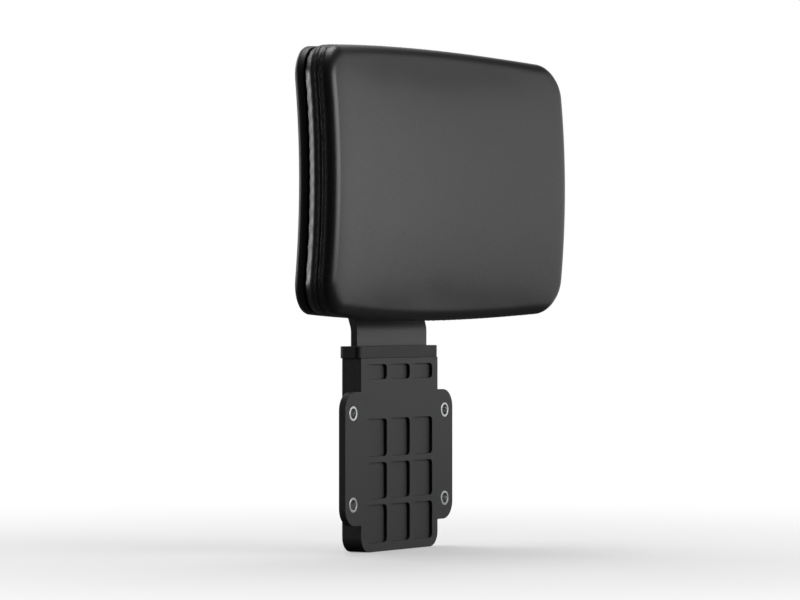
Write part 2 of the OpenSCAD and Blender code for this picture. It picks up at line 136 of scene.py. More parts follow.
class Tree:
    """A node tree that is being built, for a material, the world or a shape."""

    def __init__(self, tree):
        self.tree = tree

    def add(self, kind, settings=None, inputs=None):
        """Adds any node: its type, its settings, then the values or links of its sockets."""
        node = self.tree.nodes.new(kind)
        for name, value in (settings or {}).items():
            setattr(node, name, value)
        for key, value in (inputs or {}).items():
            if isinstance(value, Wire):
                self.tree.links.new(value.socket, node.inputs[key])
            else:
                node.inputs[key].default_value = value
        return Wire(self, node, 0) if node.outputs else node

    def math(self, operation, first, second=0.0):
        """A Math node on wires or numbers."""
        return self.add("ShaderNodeMath", {"operation": operation}, {0: first, 1: second})

    def blend(self, factor, first, second):
        """Mixes two colours."""
        return self.add("ShaderNodeMix", {"data_type": "RGBA"}, {0: factor, 6: first, 7: second})[2]

    def ease(self, value, low, high, start=0.0, end=1.0):
        """Goes smoothly from start to end while a value goes from low to high."""
        inputs = {"Value": value, "From Min": low, "From Max": high, "To Min": start, "To Max": end}
        return self.add("ShaderNodeMapRange", {"interpolation_type": "SMOOTHSTEP"}, inputs)

    def noise(self, place, size_mm, detail=2.0, roughness=0.5):
        """Soft noise whose features are about as large as the size given."""
        inputs = {"Vector": place, "Scale": 1.0 / (size_mm * MM), "Detail": detail, "Roughness": roughness}
        return self.add("ShaderNodeTexNoise", {}, inputs)

    def axes(self, vector):
        """A vector's parts, by their axes."""
        return self.add("ShaderNodeSeparateXYZ", {}, {0: vector})

    def vector(self, **parts):
        """A vector from its parts."""
        return self.add("ShaderNodeCombineXYZ", {}, parts)


def emptied(owner):
    """The node tree of a material or the world, with no node in it."""
    owner.use_nodes = True
    owner.node_tree.nodes.clear()
    return owner.node_tree


def grey(value, tint=0.0):
    """A grey, cooler for a positive tint and warmer for a negative one."""
    return (value * (1.0 - tint), value, value * (1.0 + tint), 1.0)


class Finish(Tree):
    """A material with one principled surface, built from Object coordinates."""

    def __init__(self, name, constants):
        self.material = bpy.data.materials.new(name)
        super().__init__(emptied(self.material))
        self.surface = self.add("ShaderNodeBsdfPrincipled", {}, constants)
        self.add("ShaderNodeOutputMaterial", {}, {"Surface": self.surface})
        self.place = self.add("ShaderNodeTexCoord")["Object"]

    def feed(self, **inputs):
        """Links what changes over the surface to it, and hands over the finished material."""
        for name, wire in inputs.items():
            self.tree.links.new(wire.socket, self.surface.node.inputs[name.replace("_", " ")])
        return self.material

    def bump(self, height, depth_mm, strength=1.0, under=None):
        """A bump whose full height is the depth given, over another bump where one is given."""
        inputs = {"Height": height, "Distance": depth_mm * MM, "Strength": strength}
        if under:
            inputs["Normal"] = under
        return self.add("ShaderNodeBump", {}, inputs)

    def grain(self, size_mm, detail=2.0, roughness=0.5, stretch=None):
        """Soft noise over the surface, drawn out along an axis where its stretch is below 1."""
        place = self.place
        if stretch:
            place = self.add("ShaderNodeMapping", {}, {"Vector": place, "Scale": stretch})
        return self.noise(place, size_mm, detail, roughness)

    def worn_highlit_edges(self, size_mm):
        """Where a piece's rounded edges are rubbed, in patches of about the size given: real wear that is
        also a painted highlight on the edges.
        """
        edge = self.add("ShaderNodeAttribute", {"attribute_name": "edge"})["Fac"]
        return edge * self.ease(self.grain(size_mm, 4.0, 0.6), 0.36, 0.64)


# Materials


def leatherette():
    """Black coated fabric: soft pebble grain and pores, with painted shade darkening the creases between
    pebbles, and painted light and shade in soft patches for a faint unevenness of the foam under it.
    """
    pebbles_per_metre = 900.0
    wander = 0.00055
    look = Finish("black_leatherette", {"Specular IOR Level": 0.5})
    sway = look.grain(2.4)["Color"]
    moved = look.add("ShaderNodeMix", {"data_type": "VECTOR"}, {0: wander, 4: look.place, 5: sway})[1]
    inputs = {"Vector": moved, "Scale": pebbles_per_metre, "Randomness": 0.9}
    crease = look.ease(look.add("ShaderNodeTexVoronoi", {}, inputs)["Distance"], 0.25, 0.75)
    pores = look.bump(look.grain(0.28, 1.0), 0.012, 0.4)
    # Painted light and shade: large soft patches, lighter and darker, stand in for the faint unevenness of
    # the foam under the cover
    foam_shade = look.ease(look.grain(34.0, 3.0), 0.3, 0.7)
    colour = look.blend(foam_shade, grey(0.011, 0.02), grey(0.0128, 0.02))
    return look.feed(
        # Painted shade: the creases between the pebbles, the low parts of the bump, are darker in the colour
        Base_Color=look.blend(crease, colour, grey(0.008, 0.02)),
        Roughness=0.31 + 0.02 * foam_shade + 0.05 * crease,
        Normal=look.bump(1.0 - crease, 0.03, 0.55, pores),
    )


def thread():
    """Dark polyester sewing thread with its twist, its colour darker in the twist's grooves as painted shade
    and lighter on its ridges as painted highlight.
    """
    twists_per_metre = 900.0
    look = Finish("dark_thread", {"Specular IOR Level": 0.4, "Sheen Weight": 0.2})
    inputs = {"Vector": look.place, "Scale": twists_per_metre, "Distortion": 1.5}
    twist = look.add("ShaderNodeTexWave", {"bands_direction": "DIAGONAL"}, inputs)["Fac"]
    fuzz = look.grain(0.4)
    return look.feed(
        # Painted shade and highlight: darker in the grooves of the twist and lighter on its ridges,
        # following the bump below
        Base_Color=look.blend(twist, grey(0.014), grey(0.03)),
        Roughness=0.55 + 0.2 * fuzz,
        Normal=look.bump(twist + fuzz, 0.08, 0.6),
    )


def moulded_plastic(name, base, roughness, grain_mm):
    """Black moulded plastic with an eroded mould texture, faint flow marks, scuffs, and lighter rounded
    edges that are partly rubbed wear and partly a painted highlight.
    """
    look = Finish(name, {"Specular IOR Level": 0.45})
    grain = look.grain(grain_mm, 3.0, 0.6)
    flow = look.grain(22.0, 4.0, stretch=(1.0, 1.0, 0.35))
    scuffs = look.ease(look.grain(9.0, 6.0, 0.7, stretch=(1.0, 1.0, 6.0)), 0.66, 0.8)
    wear_and_edge_highlight = look.worn_highlit_edges(7.0)
    tone = look.blend(look.ease(flow, 0.3, 0.7), grey(base, 0.04), grey(base * 1.25, 0.03))
    return look.feed(
        # Lighter scuffs, and lighter rounded edges that are partly rubbed wear and partly a painted
        # highlight
        Base_Color=look.blend(0.35 * scuffs + 0.4 * wear_and_edge_highlight, tone, grey(base * 2.4)),
        Roughness=roughness + 0.12 * (flow - 0.5) + 0.1 * grain - 0.05 - 0.1 * wear_and_edge_highlight,
        Normal=look.bump(grain, 0.08, 0.6),
    )


def coated_steel():
    """Black powder coat: orange peel, fine specks, rubbed tracks where the glides run on the strap, and
    lighter rounded edges that are partly rubbed wear and partly a painted highlight.
    """
    track_inner = (0.0335, 0.0355)
    track_outer = (0.0425, 0.0435)
    track_top = (0.062, 0.074)
    look = Finish("black_powder_coat", {"Specular IOR Level": 0.5})
    peel = look.grain(1.3)
    specks = look.grain(0.3)
    axes = look.axes(look.place)
    across = abs(axes["X"])
    track = look.ease(across, *track_inner) * look.ease(across, *track_outer, 1.0, 0.0)
    track = track * look.ease(axes["Z"], *track_top, 1.0, 0.0)
    streaks = look.ease(look.grain(0.9, 4.0, stretch=(1.0, 1.0, 0.02)), 0.35, 0.75)
    wear_and_edge_highlight = track * streaks + 0.5 * look.worn_highlit_edges(3.0)
    tone = look.blend(look.ease(specks, 0.35, 0.65), grey(0.016, 0.03), grey(0.026, 0.03))
    return look.feed(
        # Lighter where the glides rub their tracks, which is wear, and on the rounded edges, partly wear and
        # partly a painted highlight
        Base_Color=look.blend(0.75 * wear_and_edge_highlight, tone, grey(0.085, 0.02)),
        Roughness=0.4 + 0.14 * (specks - 0.5) - 0.14 * wear_and_edge_highlight,
        Normal=look.bump(peel, 0.12, 0.35, look.bump(specks, 0.02, 0.4)),
    )


def plated_metal(name, base, tint, roughness):
    """Plated or bare metal with turning marks, a little haze and small dark stains."""
    look = Finish(name, {"Metallic": 1.0})
    marks = look.grain(0.5, 3.0, stretch=(9.0, 1.0, 1.0))
    haze = look.grain(5.0, 4.0, 0.6)
    stain = look.ease(look.grain(2.2, 5.0, 0.65), 0.58, 0.78)
    tone = look.blend(look.ease(haze, 0.3, 0.7), grey(base, tint), grey(base * 0.86, tint * 0.4))
    return look.feed(
        Base_Color=look.blend(0.5 * stain, tone, grey(base * 0.5, tint)),
        Roughness=roughness + 0.16 * (haze - 0.5) + 0.08 * stain,
        Normal=look.bump(marks, 0.015, 0.5),
    )


def hazed(name, constants, haze_mm, detail, dark, light, roughness):
    """A plain finish, such as brass or nylon, whose tone and gloss vary in small patches."""
    look = Finish(name, constants)
    haze = look.grain(haze_mm, detail)
    return look.feed(Base_Color=look.blend(haze, dark, light), Roughness=roughness + 0.2 * haze)


def acetal():
    """Natural white slide plastic, slightly waxy."""
    look = Finish("natural_acetal", {"Specular IOR Level": 0.5})
    haze = look.grain(7.0, 4.0)
    lines = look.grain(0.8, 3.0, stretch=(1.0, 1.0, 0.03))
    grime = look.ease(lines, 0.55, 0.8)
    tone = look.blend(haze, (0.74, 0.72, 0.66, 1.0), (0.82, 0.8, 0.75, 1.0))
    return look.feed(
        Base_Color=look.blend(0.35 * grime, tone, (0.36, 0.35, 0.33, 1.0)),
        Roughness=0.34 + 0.16 * grime,
        Normal=look.bump(lines, 0.03, 0.4),
    )


def plywood():
    """Moulded beech plywood: long grain on the faces and plies across the edge."""
    ply_mm = 2.4
    look = Finish("beech_plywood", {"Specular IOR Level": 0.3})
    layer = look.add("ShaderNodeAttribute", {"attribute_name": "depth"})["Fac"] * (1.0 / ply_mm)
    grain = look.grain(1.6, 5.0, 0.6, stretch=(0.05, 1.0, 1.0))
    flecks = look.ease(look.grain(0.6, stretch=(0.25, 1.0, 1.0)), 0.6, 0.72)
    ply = look.ease(abs(look.math("PINGPONG", layer, 1.0) - 0.5), 0.18, 0.3)
    tone = look.blend(grain, (0.38, 0.24, 0.12, 1.0), (0.56, 0.4, 0.24, 1.0))
    tone = look.blend(0.4 * flecks, tone, (0.24, 0.13, 0.06, 1.0))
    return look.feed(
        Base_Color=look.blend(0.3 * ply, tone, (0.3, 0.18, 0.09, 1.0)),
        Roughness=0.6 + 0.15 * grain,
        Normal=look.bump(grain, 0.08, 0.4),
    )


def foam():
    """Cut polyurethane foam with open cells, their pits darker as painted shade."""
    cells_per_metre = 1100.0
    look = Finish("cut_foam", {"Specular IOR Level": 0.2, "Sheen Weight": 0.3})
    inputs = {"Vector": look.place, "Scale": cells_per_metre}
    cells = look.add("ShaderNodeTexVoronoi", {}, inputs)["Distance"]
    patch = look.grain(18.0, 3.0)
    tone = look.blend(patch, (0.62, 0.55, 0.36, 1.0), (0.72, 0.66, 0.46, 1.0))
    return look.feed(
        # Painted shade: the colour is darker in the pits of the open cells, the low parts of the bump
        Base_Color=look.blend(look.ease(cells, 0.1, 0.6, 0.5, 0.0), tone, (0.36, 0.3, 0.17, 1.0)),
        Roughness=0.85 + 0.1 * patch,
        Normal=look.bump(cells, 0.4, 0.6),
    )


LEATHERETTE = leatherette()
THREAD = thread()
SHELL_PLASTIC = moulded_plastic("shell_plastic_black", 0.012, 0.46, 0.35)
RECEIVER_PLASTIC = moulded_plastic("receiver_plastic_black", 0.017, 0.56, 0.8)
BEZEL_PLASTIC = moulded_plastic("bezel_plastic_black", 0.008, 0.62, 0.3)
COATED_STEEL = coated_steel()
ZINC = plated_metal("zinc_plate", 0.6, 0.02, 0.3)
BLACK_OXIDE = plated_metal("black_oxide", 0.06, 0.02, 0.38)
SPRING_STEEL = plated_metal("spring_steel_blue", 0.34, 0.05, 0.27)
BRASS_TONES = ((0.62, 0.42, 0.16, 1.0), (0.78, 0.58, 0.28, 1.0))
BRASS = hazed("brass_insert", {"Metallic": 1.0}, 1.6, 4.0, *BRASS_TONES, 0.28)
ACETAL = acetal()
PLYWOOD = plywood()
FOAM = foam()
NYLON_TONES = ((0.5, 0.52, 0.55, 1.0), (0.66, 0.67, 0.68, 1.0))
NYLON = hazed("nylon_ring", {"Specular IOR Level": 0.5}, 1.2, 3.0, *NYLON_TONES, 0.35)


# Mesh helpers

DOUBLE_GAP = 1e-6
CAD_DOUBLE_GAP = 2e-6
FLAT_ANGLE = math.radians(0.4)
TURN_FROM_Z = {
    "X": Matrix.Rotation(math.radians(90.0), 4, "Y"),
    "Y": Matrix.Rotation(math.radians(-90.0), 4, "X"),
}


def new_object(name, mesh, material):
    """Links a mesh into the scene, smooth, with one material."""
    mesh.materials.clear()
    mesh.materials.append(material)
    piece = bpy.data.objects.new(name, mesh)
    bpy.context.collection.objects.link(piece)
    mesh.shade_smooth()
    return piece


def mesh_piece(name, points_mm, faces, material):
    """A piece from points in millimetres."""
    mesh = bpy.data.meshes.new(name)
    mesh.from_pydata([tuple(MM * value for value in point) for point in points_mm], [], faces)
    mesh.update()
    return new_object(name, mesh, material)


def made_plain(piece):
    """Replaces a piece's mesh by what its modifiers make of it, and removes them."""
    graph = bpy.context.evaluated_depsgraph_get()
    mesh = bpy.data.meshes.new_from_object(piece.evaluated_get(graph))
    piece.modifiers.clear()
    old = piece.data
    piece.data = mesh
    bpy.data.meshes.remove(old)
    mesh.name = piece.name
    return piece


def outward(piece):
    """Merges doubles and turns every face outwards."""
    shape = bmesh.new()
    shape.from_mesh(piece.data)
    bmesh.ops.remove_doubles(shape, verts=shape.verts, dist=DOUBLE_GAP)
    bmesh.ops.recalc_face_normals(shape, faces=shape.faces)
    shape.to_mesh(piece.data)
    shape.free()
    return piece


def sharpened(piece, angle):
    """Smooth shading that breaks at edges sharper than an angle."""
    piece.data.shade_smooth()
    piece.data.set_sharp_from_angle(angle=math.radians(angle))
    return piece


def rounded(piece, width_mm, angle=35.0, segments=3):
    """Rounds a piece's sharp edges, marks the new faces as its edge, and keeps flat faces looking flat."""
    bevel = piece.modifiers.new("edges", "BEVEL")
    bevel.width = width_mm * MM
    bevel.segments = segments
    bevel.limit_method = "ANGLE"
    bevel.angle_limit = math.radians(angle)
    bevel.material = 1
    flat = piece.modifiers.new("normals", "WEIGHTED_NORMAL")
    flat.weight = 100
    flat.keep_sharp = True
    piece.data.materials.append(piece.data.materials[0])
    made_plain(piece)
    slots = np.empty(len(piece.data.polygons), dtype=np.int32)
    piece.data.polygons.foreach_get("material_index", slots)
    edge = piece.data.attributes.new("edge", "FLOAT", "FACE")
    edge.data.foreach_set("value", slots.astype(np.float32))
    piece.data.polygons.foreach_set("material_index", np.zeros(len(slots), dtype=np.int32))
    piece.data.materials.pop(index=1)
    return piece


def merged(node, name, material):
    """A copy of a CAD node, with its doubles merged and its flat faces joined."""
    shape = bmesh.new()
    shape.from_mesh(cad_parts[node].data)
    bmesh.ops.remove_doubles(shape, verts=shape.verts, dist=CAD_DOUBLE_GAP)
    bmesh.ops.dissolve_limit(shape, angle_limit=FLAT_ANGLE, verts=shape.verts, edges=shape.edges)
    mesh = bpy.data.meshes.new(name)
    shape.to_mesh(mesh)
    shape.free()
    return new_object(name, mesh, material)


def thickened(piece, thickness_mm):
    """Gives a sheet its thickness, on the inner side."""
    wall = piece.modifiers.new("thickness", "SOLIDIFY")
    wall.thickness = thickness_mm * MM
    wall.offset = -1.0
    return made_plain(piece)


def combine(piece, others, operation):
    """Joins, cuts or intersects a piece with helper solids, which are removed."""
    for other in others:
        change = piece.modifiers.new("solid", "BOOLEAN")
        change.operation = operation
        change.solver = "EXACT"
        change.object = other
    made_plain(piece)
    for other in others:
        bpy.data.objects.remove(other)
    return piece


def loop_faces(loops, count, closed):
    """Faces between loops of equal count that follow each other, and from last to first where closed."""
    faces = []
    for level in range(loops if closed else loops - 1):
        here = level * count
        there = (level + 1) % loops * count
        for step in range(count):
            after = (step + 1) % count
            faces.append((here + step, there + step, there + after, here + after))
    return faces


def shifted(profile, start):
    """A turned profile, pairs of radius and place, moved along its axis."""
    return [(radius, start + place) for radius, place in profile]


def lathe(name, profile, centre, axis, material, segments=48):
    """A turned piece: pairs of radius and place along an axis, closed where a radius is 0."""
    points = []
    for radius, along in profile:
        for step in range(segments):
            angle = 2.0 * math.pi * step / segments
            spot = Vector((radius * math.cos(angle), radius * math.sin(angle), along))
            points.append(TURN_FROM_Z[axis] @ spot + Vector(centre))
    faces = loop_faces(len(profile), segments, profile[0][0] > 0.0)
    return sharpened(outward(mesh_piece(name, points, faces, material)), 30.0)


def prism(name, outline, low, high, axis, material):
    """A drawing made solid between two places along X or Y: pairs in Y and Z, or in X and Z."""
    points = []
    for place in (low, high):
        points += [(place, a, b) if axis == "X" else (a, place, b) for a, b in outline]
    count = len(outline)
    ends = [tuple(range(count)), tuple(range(2 * count - 1, count - 1, -1))]
    return outward(mesh_piece(name, points, ends + loop_faces(2, count, False), material))


def arc(centre, radius, start, end, steps):
    """Points on an arc, its ends included, with angles in degrees."""
    angles = [math.radians(start + (end - start) * step / steps) for step in range(steps + 1)]
    return [(centre[0] + radius * math.cos(a), centre[1] + radius * math.sin(a)) for a in angles]


def rounded_rectangle(x0, z0, x1, z1, r):
    """Outline of a rectangle with round corners."""
    centres = [(x1 - r, z1 - r), (x0 + r, z1 - r), (x0 + r, z0 + r), (x1 - r, z0 + r)]
    points = []
    for turn, centre in enumerate(centres):
        points += arc(centre, r, 90 * turn, 90 * turn + 90, 6)
    return points


# Shape trees

BEND_SIZES = {
    "Half Width": PAD_W / 2, "Half Height": PAD_H / 2, "Wrap": PAD_WRAP,
    "Bow": PAD_BOW, "Front": PAD_FRONT_Y, "Middle": PAD_Z,
}
STITCH_SIZES = ("Pitch", "Length", "Thread", "Slant")
STITCH_SLANT = 0.08
STITCH_JITTER = 0.05
STITCH_SEED = 7
SCREW_SIZES = ("Head Radius", "Head Height", "Shank Radius", "Shank Length", "Socket Radius", "Socket Depth")
# Steps of a screw: radius at the foot and at the top, start and height, as shares of its sizes
HEAD_STEPS = [
    (0.96, 1.0, 0.0, 0.06), (1.0, 1.0, 0.06, 0.4), (1.0, 0.87, 0.46, 0.32), (0.87, 0.66, 0.78, 0.22),
]
SHANK_STEPS = [(1.0, 1.0, -0.85, 0.87), (0.55, 1.0, -1.0, 0.15)]


def shape_tree(name, numbers, others=None):
    """A geometry tree with named inputs, plain numbers and others, and the wires that come from them."""
    group = bpy.data.node_groups.new(name, "GeometryNodeTree")
    group.interface.new_socket("Geometry", in_out="INPUT", socket_type="NodeSocketGeometry")
    group.interface.new_socket("Geometry", in_out="OUTPUT", socket_type="NodeSocketGeometry")
    kinds = {label: "Float" for label in numbers}
    kinds.update(others or {})
    for label, kind in kinds.items():
        group.interface.new_socket(label, in_out="INPUT", socket_type="NodeSocket" + kind)
    tree = Tree(group)
    return tree, tree.add("NodeGroupInput")


def end_tree(tree, geometry, material=None):
    """Ends a tree: copies become real meshes and get their material."""
    if material:
        geometry = tree.add("GeometryNodeRealizeInstances", {}, {"Geometry": geometry})
        geometry = tree.add("GeometryNodeSetMaterial", {}, {"Geometry": geometry, "Material": material})
    tree.add("NodeGroupOutput", {}, {"Geometry": geometry})
    return tree.tree


def shaped(piece, group, values):
    """Runs a geometry tree on a piece with the values of its named inputs, and keeps the plain mesh."""
    change = piece.modifiers.new("shape", "NODES")
    change.node_group = group
    for item in group.interface.items_tree:
        if item.in_out == "INPUT" and item.name in values:
            change[item.identifier] = values[item.name]
    return made_plain(piece)


def bend_tree():
    """Bends a flat layer of the pad: its ends come forward, its top and bottom lie back."""
    tree, given = shape_tree("pad_bend", BEND_SIZES)
    axes = tree.axes(tree.add("GeometryNodeInputPosition"))
    forward = given["Wrap"] * (axes["X"] / given["Half Width"]) ** 2.0
    back = given["Bow"] * (axes["Z"] / given["Half Height"]) ** 2.0
    depth = axes["Y"] + given["Front"] + back - forward
    place = tree.vector(X=axes["X"], Y=depth, Z=axes["Z"] + given["Middle"])
    moved = tree.add("GeometryNodeSetPosition", {}, {"Geometry": given["Geometry"], "Position": place})
    return end_tree(tree, moved)


def stitch_tree():
    """Stitches along a seam: short threads that follow the path and lie on the cover."""
    tree, given = shape_tree("stitch_row", STITCH_SIZES, {"Material": "Material"})
    path = tree.add("GeometryNodeMeshToCurve", {}, {"Mesh": given["Geometry"]})
    spacing = {"Curve": path, "Length": given["Pitch"]}
    spaced = tree.add("GeometryNodeResampleCurve", {"mode": "LENGTH"}, spacing)
    away = tree.add("GeometryNodeInputNamedAttribute", {"data_type": "FLOAT_VECTOR"}, {"Name": "away"})
    axes = {"Primary Axis": away, "Secondary Axis": tree.add("GeometryNodeInputTangent")}
    turn = tree.add("FunctionNodeAxesToRotation", {"primary_axis": "Z", "secondary_axis": "X"}, axes)
    limits = {2: -STITCH_JITTER, 3: STITCH_JITTER, "Seed": STITCH_SEED}
    jitter = tree.add("FunctionNodeRandomValue", {"data_type": "FLOAT"}, limits)[1]
    skew = {"Rotation": turn, "Rotate By": tree.vector(Z=given["Slant"] + jitter)}
    turn = tree.add("FunctionNodeRotateRotation", {"rotation_space": "LOCAL"}, skew)
    bead = tree.add("GeometryNodeMeshUVSphere", {}, {"Segments": 10, "Rings": 6, "Radius": 1.0})
    size = tree.vector(X=given["Length"] * 0.5, Y=given["Thread"], Z=given["Thread"])
    bead = tree.add("GeometryNodeTransform", {}, {"Geometry": bead, "Scale": size})
    bead = tree.add("GeometryNodeSetShadeSmooth", {}, {"Geometry": bead})
    copies = {"Points": spaced, "Instance": bead, "Rotation": turn}
    return end_tree(tree, tree.add("GeometryNodeInstanceOnPoints", {}, copies), given["Material"])


def screw_tree():
    """Socket screws on points: a head with a sloped rim and a hexagon socket, and a pointed shank."""
    tree, given = shape_tree("socket_screw", SCREW_SIZES, {"Turn": "Rotation", "Material": "Material"})

    def frustum(low, high, start, height, vertices=32):
        cone = {"Vertices": vertices, "Radius Bottom": low, "Radius Top": high, "Depth": height}
        solid = tree.add("GeometryNodeMeshCone", {}, cone)
        lifted = {"Geometry": solid, "Translation": tree.vector(Z=start)}
        return tree.add("GeometryNodeTransform", {}, lifted)

    tall = given["Head Height"]
    wide = given["Socket Radius"]
    solids = tree.add("GeometryNodeMeshBoolean", {"operation": "UNION", "solver": "EXACT"})
    for radius, length, steps in (
        (given["Head Radius"], tall, HEAD_STEPS),
        (given["Shank Radius"], given["Shank Length"], SHANK_STEPS),
    ):
        for low, high, start, height in steps:
            solid = frustum(radius * low, radius * high, length * start, length * height)
            tree.tree.links.new(solid.socket, solids.node.inputs["Mesh 2"])
    socket = frustum(wide, wide, tall - given["Socket Depth"], tall, 6)
    settings = {"operation": "DIFFERENCE", "solver": "EXACT"}
    screw = tree.add("GeometryNodeMeshBoolean", settings, {"Mesh 1": solids, "Mesh 2": socket})
    copies = {"Points": given["Geometry"], "Instance": screw, "Rotation": given["Turn"]}
    return end_tree(tree, tree.add("GeometryNodeInstanceOnPoints", {}, copies), given["Material"])


BEND = bend_tree()
STITCHES = stitch_tree()
SCREWS = screw_tree()
FACING_BACK = (math.radians(-90.0), 0.0, 0.0)


def screws(name, spots, head, shank, socket, material):
    """A set of equal screws that face back: sizes of head, shank and socket as pairs, in millimetres."""
    piece = mesh_piece(name, spots, [], material)
    values = {label: size * MM for label, size in zip(SCREW_SIZES, head + shank + socket)}
    values.update({"Turn": FACING_BACK, "Material": material})
    return sharpened(shaped(piece, SCREWS, values), 24.0)


# Layers of the pad: counts of steps across and up, and panels of rise and fullness

INNER_STEPS = (52, 28)
SHELL_STEPS = (104, 56)
FLAT_PANEL = (0.0, (2.0, 2.0))
SHELL_PANEL = (SHELL_RISE, (SHELL_FULLNESS, SHELL_FULLNESS))


def outline(inset, across, up):
    """The pad's outline, drawn in by an inset, with equal steps along each side from corner to corner."""
    a = PAD_W / 2 - inset
    b = PAD_H / 2 - EDGE_BOW - inset
    r = max(CORNER_R - inset, CORNER_LEAST)
    half_arc = r * math.pi / 4
    middles = np.array([(r - a, r - b), (a - r, r - b), (a - r, b - r), (r - a, b - r)])
    loop = []
    for side, steps in enumerate((across, up, across, up)):
        way = middles[(side + 1) % 4] - middles[side]
        straight = np.linalg.norm(way)
        start = math.radians(225.0 + 90.0 * side)
        for step in range(steps):
            gone = (2 * half_arc + straight) * step / steps
            along = min(max(gone - half_arc, 0.0), straight)
            angle = start + (gone - along) / r
            corner = r * np.array((math.cos(angle), math.sin(angle)))
            loop.append(middles[side] + way * along / straight + corner)
    loop = np.array(loop)
    loop[:, 1] *= 1.0 + EDGE_BOW / b * (1.0 - (loop[:, 0] / a) ** 2)
    return loop


def panel_numbers(base, start, across, up):
    """Numbers of the points of a grid that fills a ring: the ring's round its edge, its own inside."""
    number = np.zeros((up + 1, across + 1), dtype=int)
    number[0, :] = base + np.arange(across + 1)
    number[:, across] = base + across + np.arange(up + 1)
    number[up, ::-1] = base + across + up + np.arange(across + 1)
    number[::-1, 0] = base + (2 * across + up + np.arange(up + 1)) % (2 * (across + up))
    number[1:-1, 1:-1] = start + np.arange((up - 1) * (across - 1)).reshape(up - 1, across - 1)
    return number


def panel(edge, across, up, rise, fullness):
    """A grid that fills a ring, from its four sides, with a crown whose middle rises by an amount."""
    number = panel_numbers(0, 0, across, up)
    low = edge[number[0]]
    high = edge[number[up]]
    left = edge[number[:, 0]]
    right = edge[number[:, across]]
    u = np.linspace(0.0, 1.0, across + 1)[None, :, None]
    v = np.linspace(0.0, 1.0, up + 1)[:, None, None]
    grid = (1 - v) * low[None] + v * high[None] + (1 - u) * left[:, None] + u * right[:, None]
    grid -= (1 - u) * (1 - v) * low[0] + u * (1 - v) * low[-1] + (1 - u) * v * high[0] + u * v * high[-1]
    power_u, power_v = fullness
    swell = (1 - np.abs(2 * u - 1) ** power_u) * (1 - np.abs(2 * v - 1) ** power_v)
    grid[:, :, 1] = edge[0, 1] + rise * swell[:, :, 0]
    return grid


def sheet_faces(rings, across, up, front, rear):
    """Faces of a sheet of rings, and of the grids that close its front and its rear."""
    columns = 2 * (across + up)
    faces = loop_faces(rings, columns, False)
    start = rings * columns
    for closes, base in ((front, 0), (rear, (rings - 1) * columns)):
        if not closes:
            continue
        number = panel_numbers(base, start, across, up)
        corners = [number[:-1, :-1], number[:-1, 1:], number[1:, 1:], number[1:, :-1]]
        squares = np.stack(corners, axis=-1).reshape(-1, 4)
        faces += (squares if base == 0 else squares[:, ::-1]).tolist()
        start += (up - 1) * (across - 1)
    return faces


def pad_layer(name, section, steps, material, front=None, rear=None):
    """A bent layer of the pad from pairs of inset and depth, closed by crowned panels."""
    across, up = steps
    rings = []
    for inset, depth in section:
        loop = outline(inset, across, up)
        rings.append(np.stack([loop[:, 0], np.full(len(loop), depth), loop[:, 1]], axis=1))
    points = list(rings)
    for closing, edge in ((front, rings[0]), (rear, rings[-1])):
        if closing:
            points.append(panel(edge, across, up, *closing)[1:-1, 1:-1].reshape(-1, 3))
    points = np.concatenate(points)
    piece = mesh_piece(name, points, sheet_faces(len(rings), across, up, front, rear), material)
    depth = piece.data.attributes.new("depth", "FLOAT", "POINT")
    depth.data.foreach_set("value", points[:, 1])
    return shaped(piece, BEND, {label: size * MM for label, size in BEND_SIZES.items()})


def rolled_edge(under, count):
    """The rolled front edge of a layer that lies under the cover's face, as pairs of inset and depth."""
    angles = np.linspace(0.0, math.pi / 2, count)
    wide = ROLL_W - under
    deep = ROLL_D - under
    return [(ROLL_W - wide * math.sin(a), EDGE_D - deep * math.cos(a)) for a in angles]


# Upholstery: simulated on a coarse sheet, then laid on a fine one that carries the seam

FINER = 2
COARSE = (78, 42)
FINE = (FINER * COARSE[0], FINER * COARSE[1])
SEAM_D = 8.0
SEAM_REACH = 4.5
SLOPE_D = 12.4
SLOPE_TURN = 1.2
SLOPE_END_D = 17.3
SLOPE = math.tan(math.radians(20.0))
REAR_TURN_START = 0.12
HEM_STEPS = 9
COVER_SLACK = 0.2

# Stitches and the relief of the seam, in millimetres
PITCH = 6.6
STITCH = 4.6
STITCH_SINK = 0.02
THREAD_R = 0.34
ROW_GAP = 2.5
ROW_SINK = 0.18
ROW_W = 0.7
LAP_RISE = 0.16
LAP_EDGE = 0.2
LAP_FADE = 3.2
GROOVE_SINK = 0.22
GROOVE_AT = -0.45
GROOVE_W = 0.4
PUCKER = 0.05
PUCKER_RUN = 13.0
PUCKER_GAP = 3.4
PUCKER_W = 2.2
PULL = 0.12
PULL_RUN = 9.7
PULL_W = 2.4

# The cloth simulation, and how far it may lift or sink the cover
SWELL_CAP = 1.2
DIP_CAP = 0.3
SETTLE_FRAMES = 20
EVEN_ROUNDS = 14
CLOTH = {
    "quality": 6, "mass": 0.15, "tension_stiffness": 40.0, "compression_stiffness": 40.0,
    "shear_stiffness": 15.0, "bending_stiffness": 20.0, "use_pressure": True, "uniform_pressure_force": 3.0,
    "vertex_group_mass": "held",
}
FRONT_PANEL = (SWELL_CAP - PAD_CROWN, (2.4, 2.2))


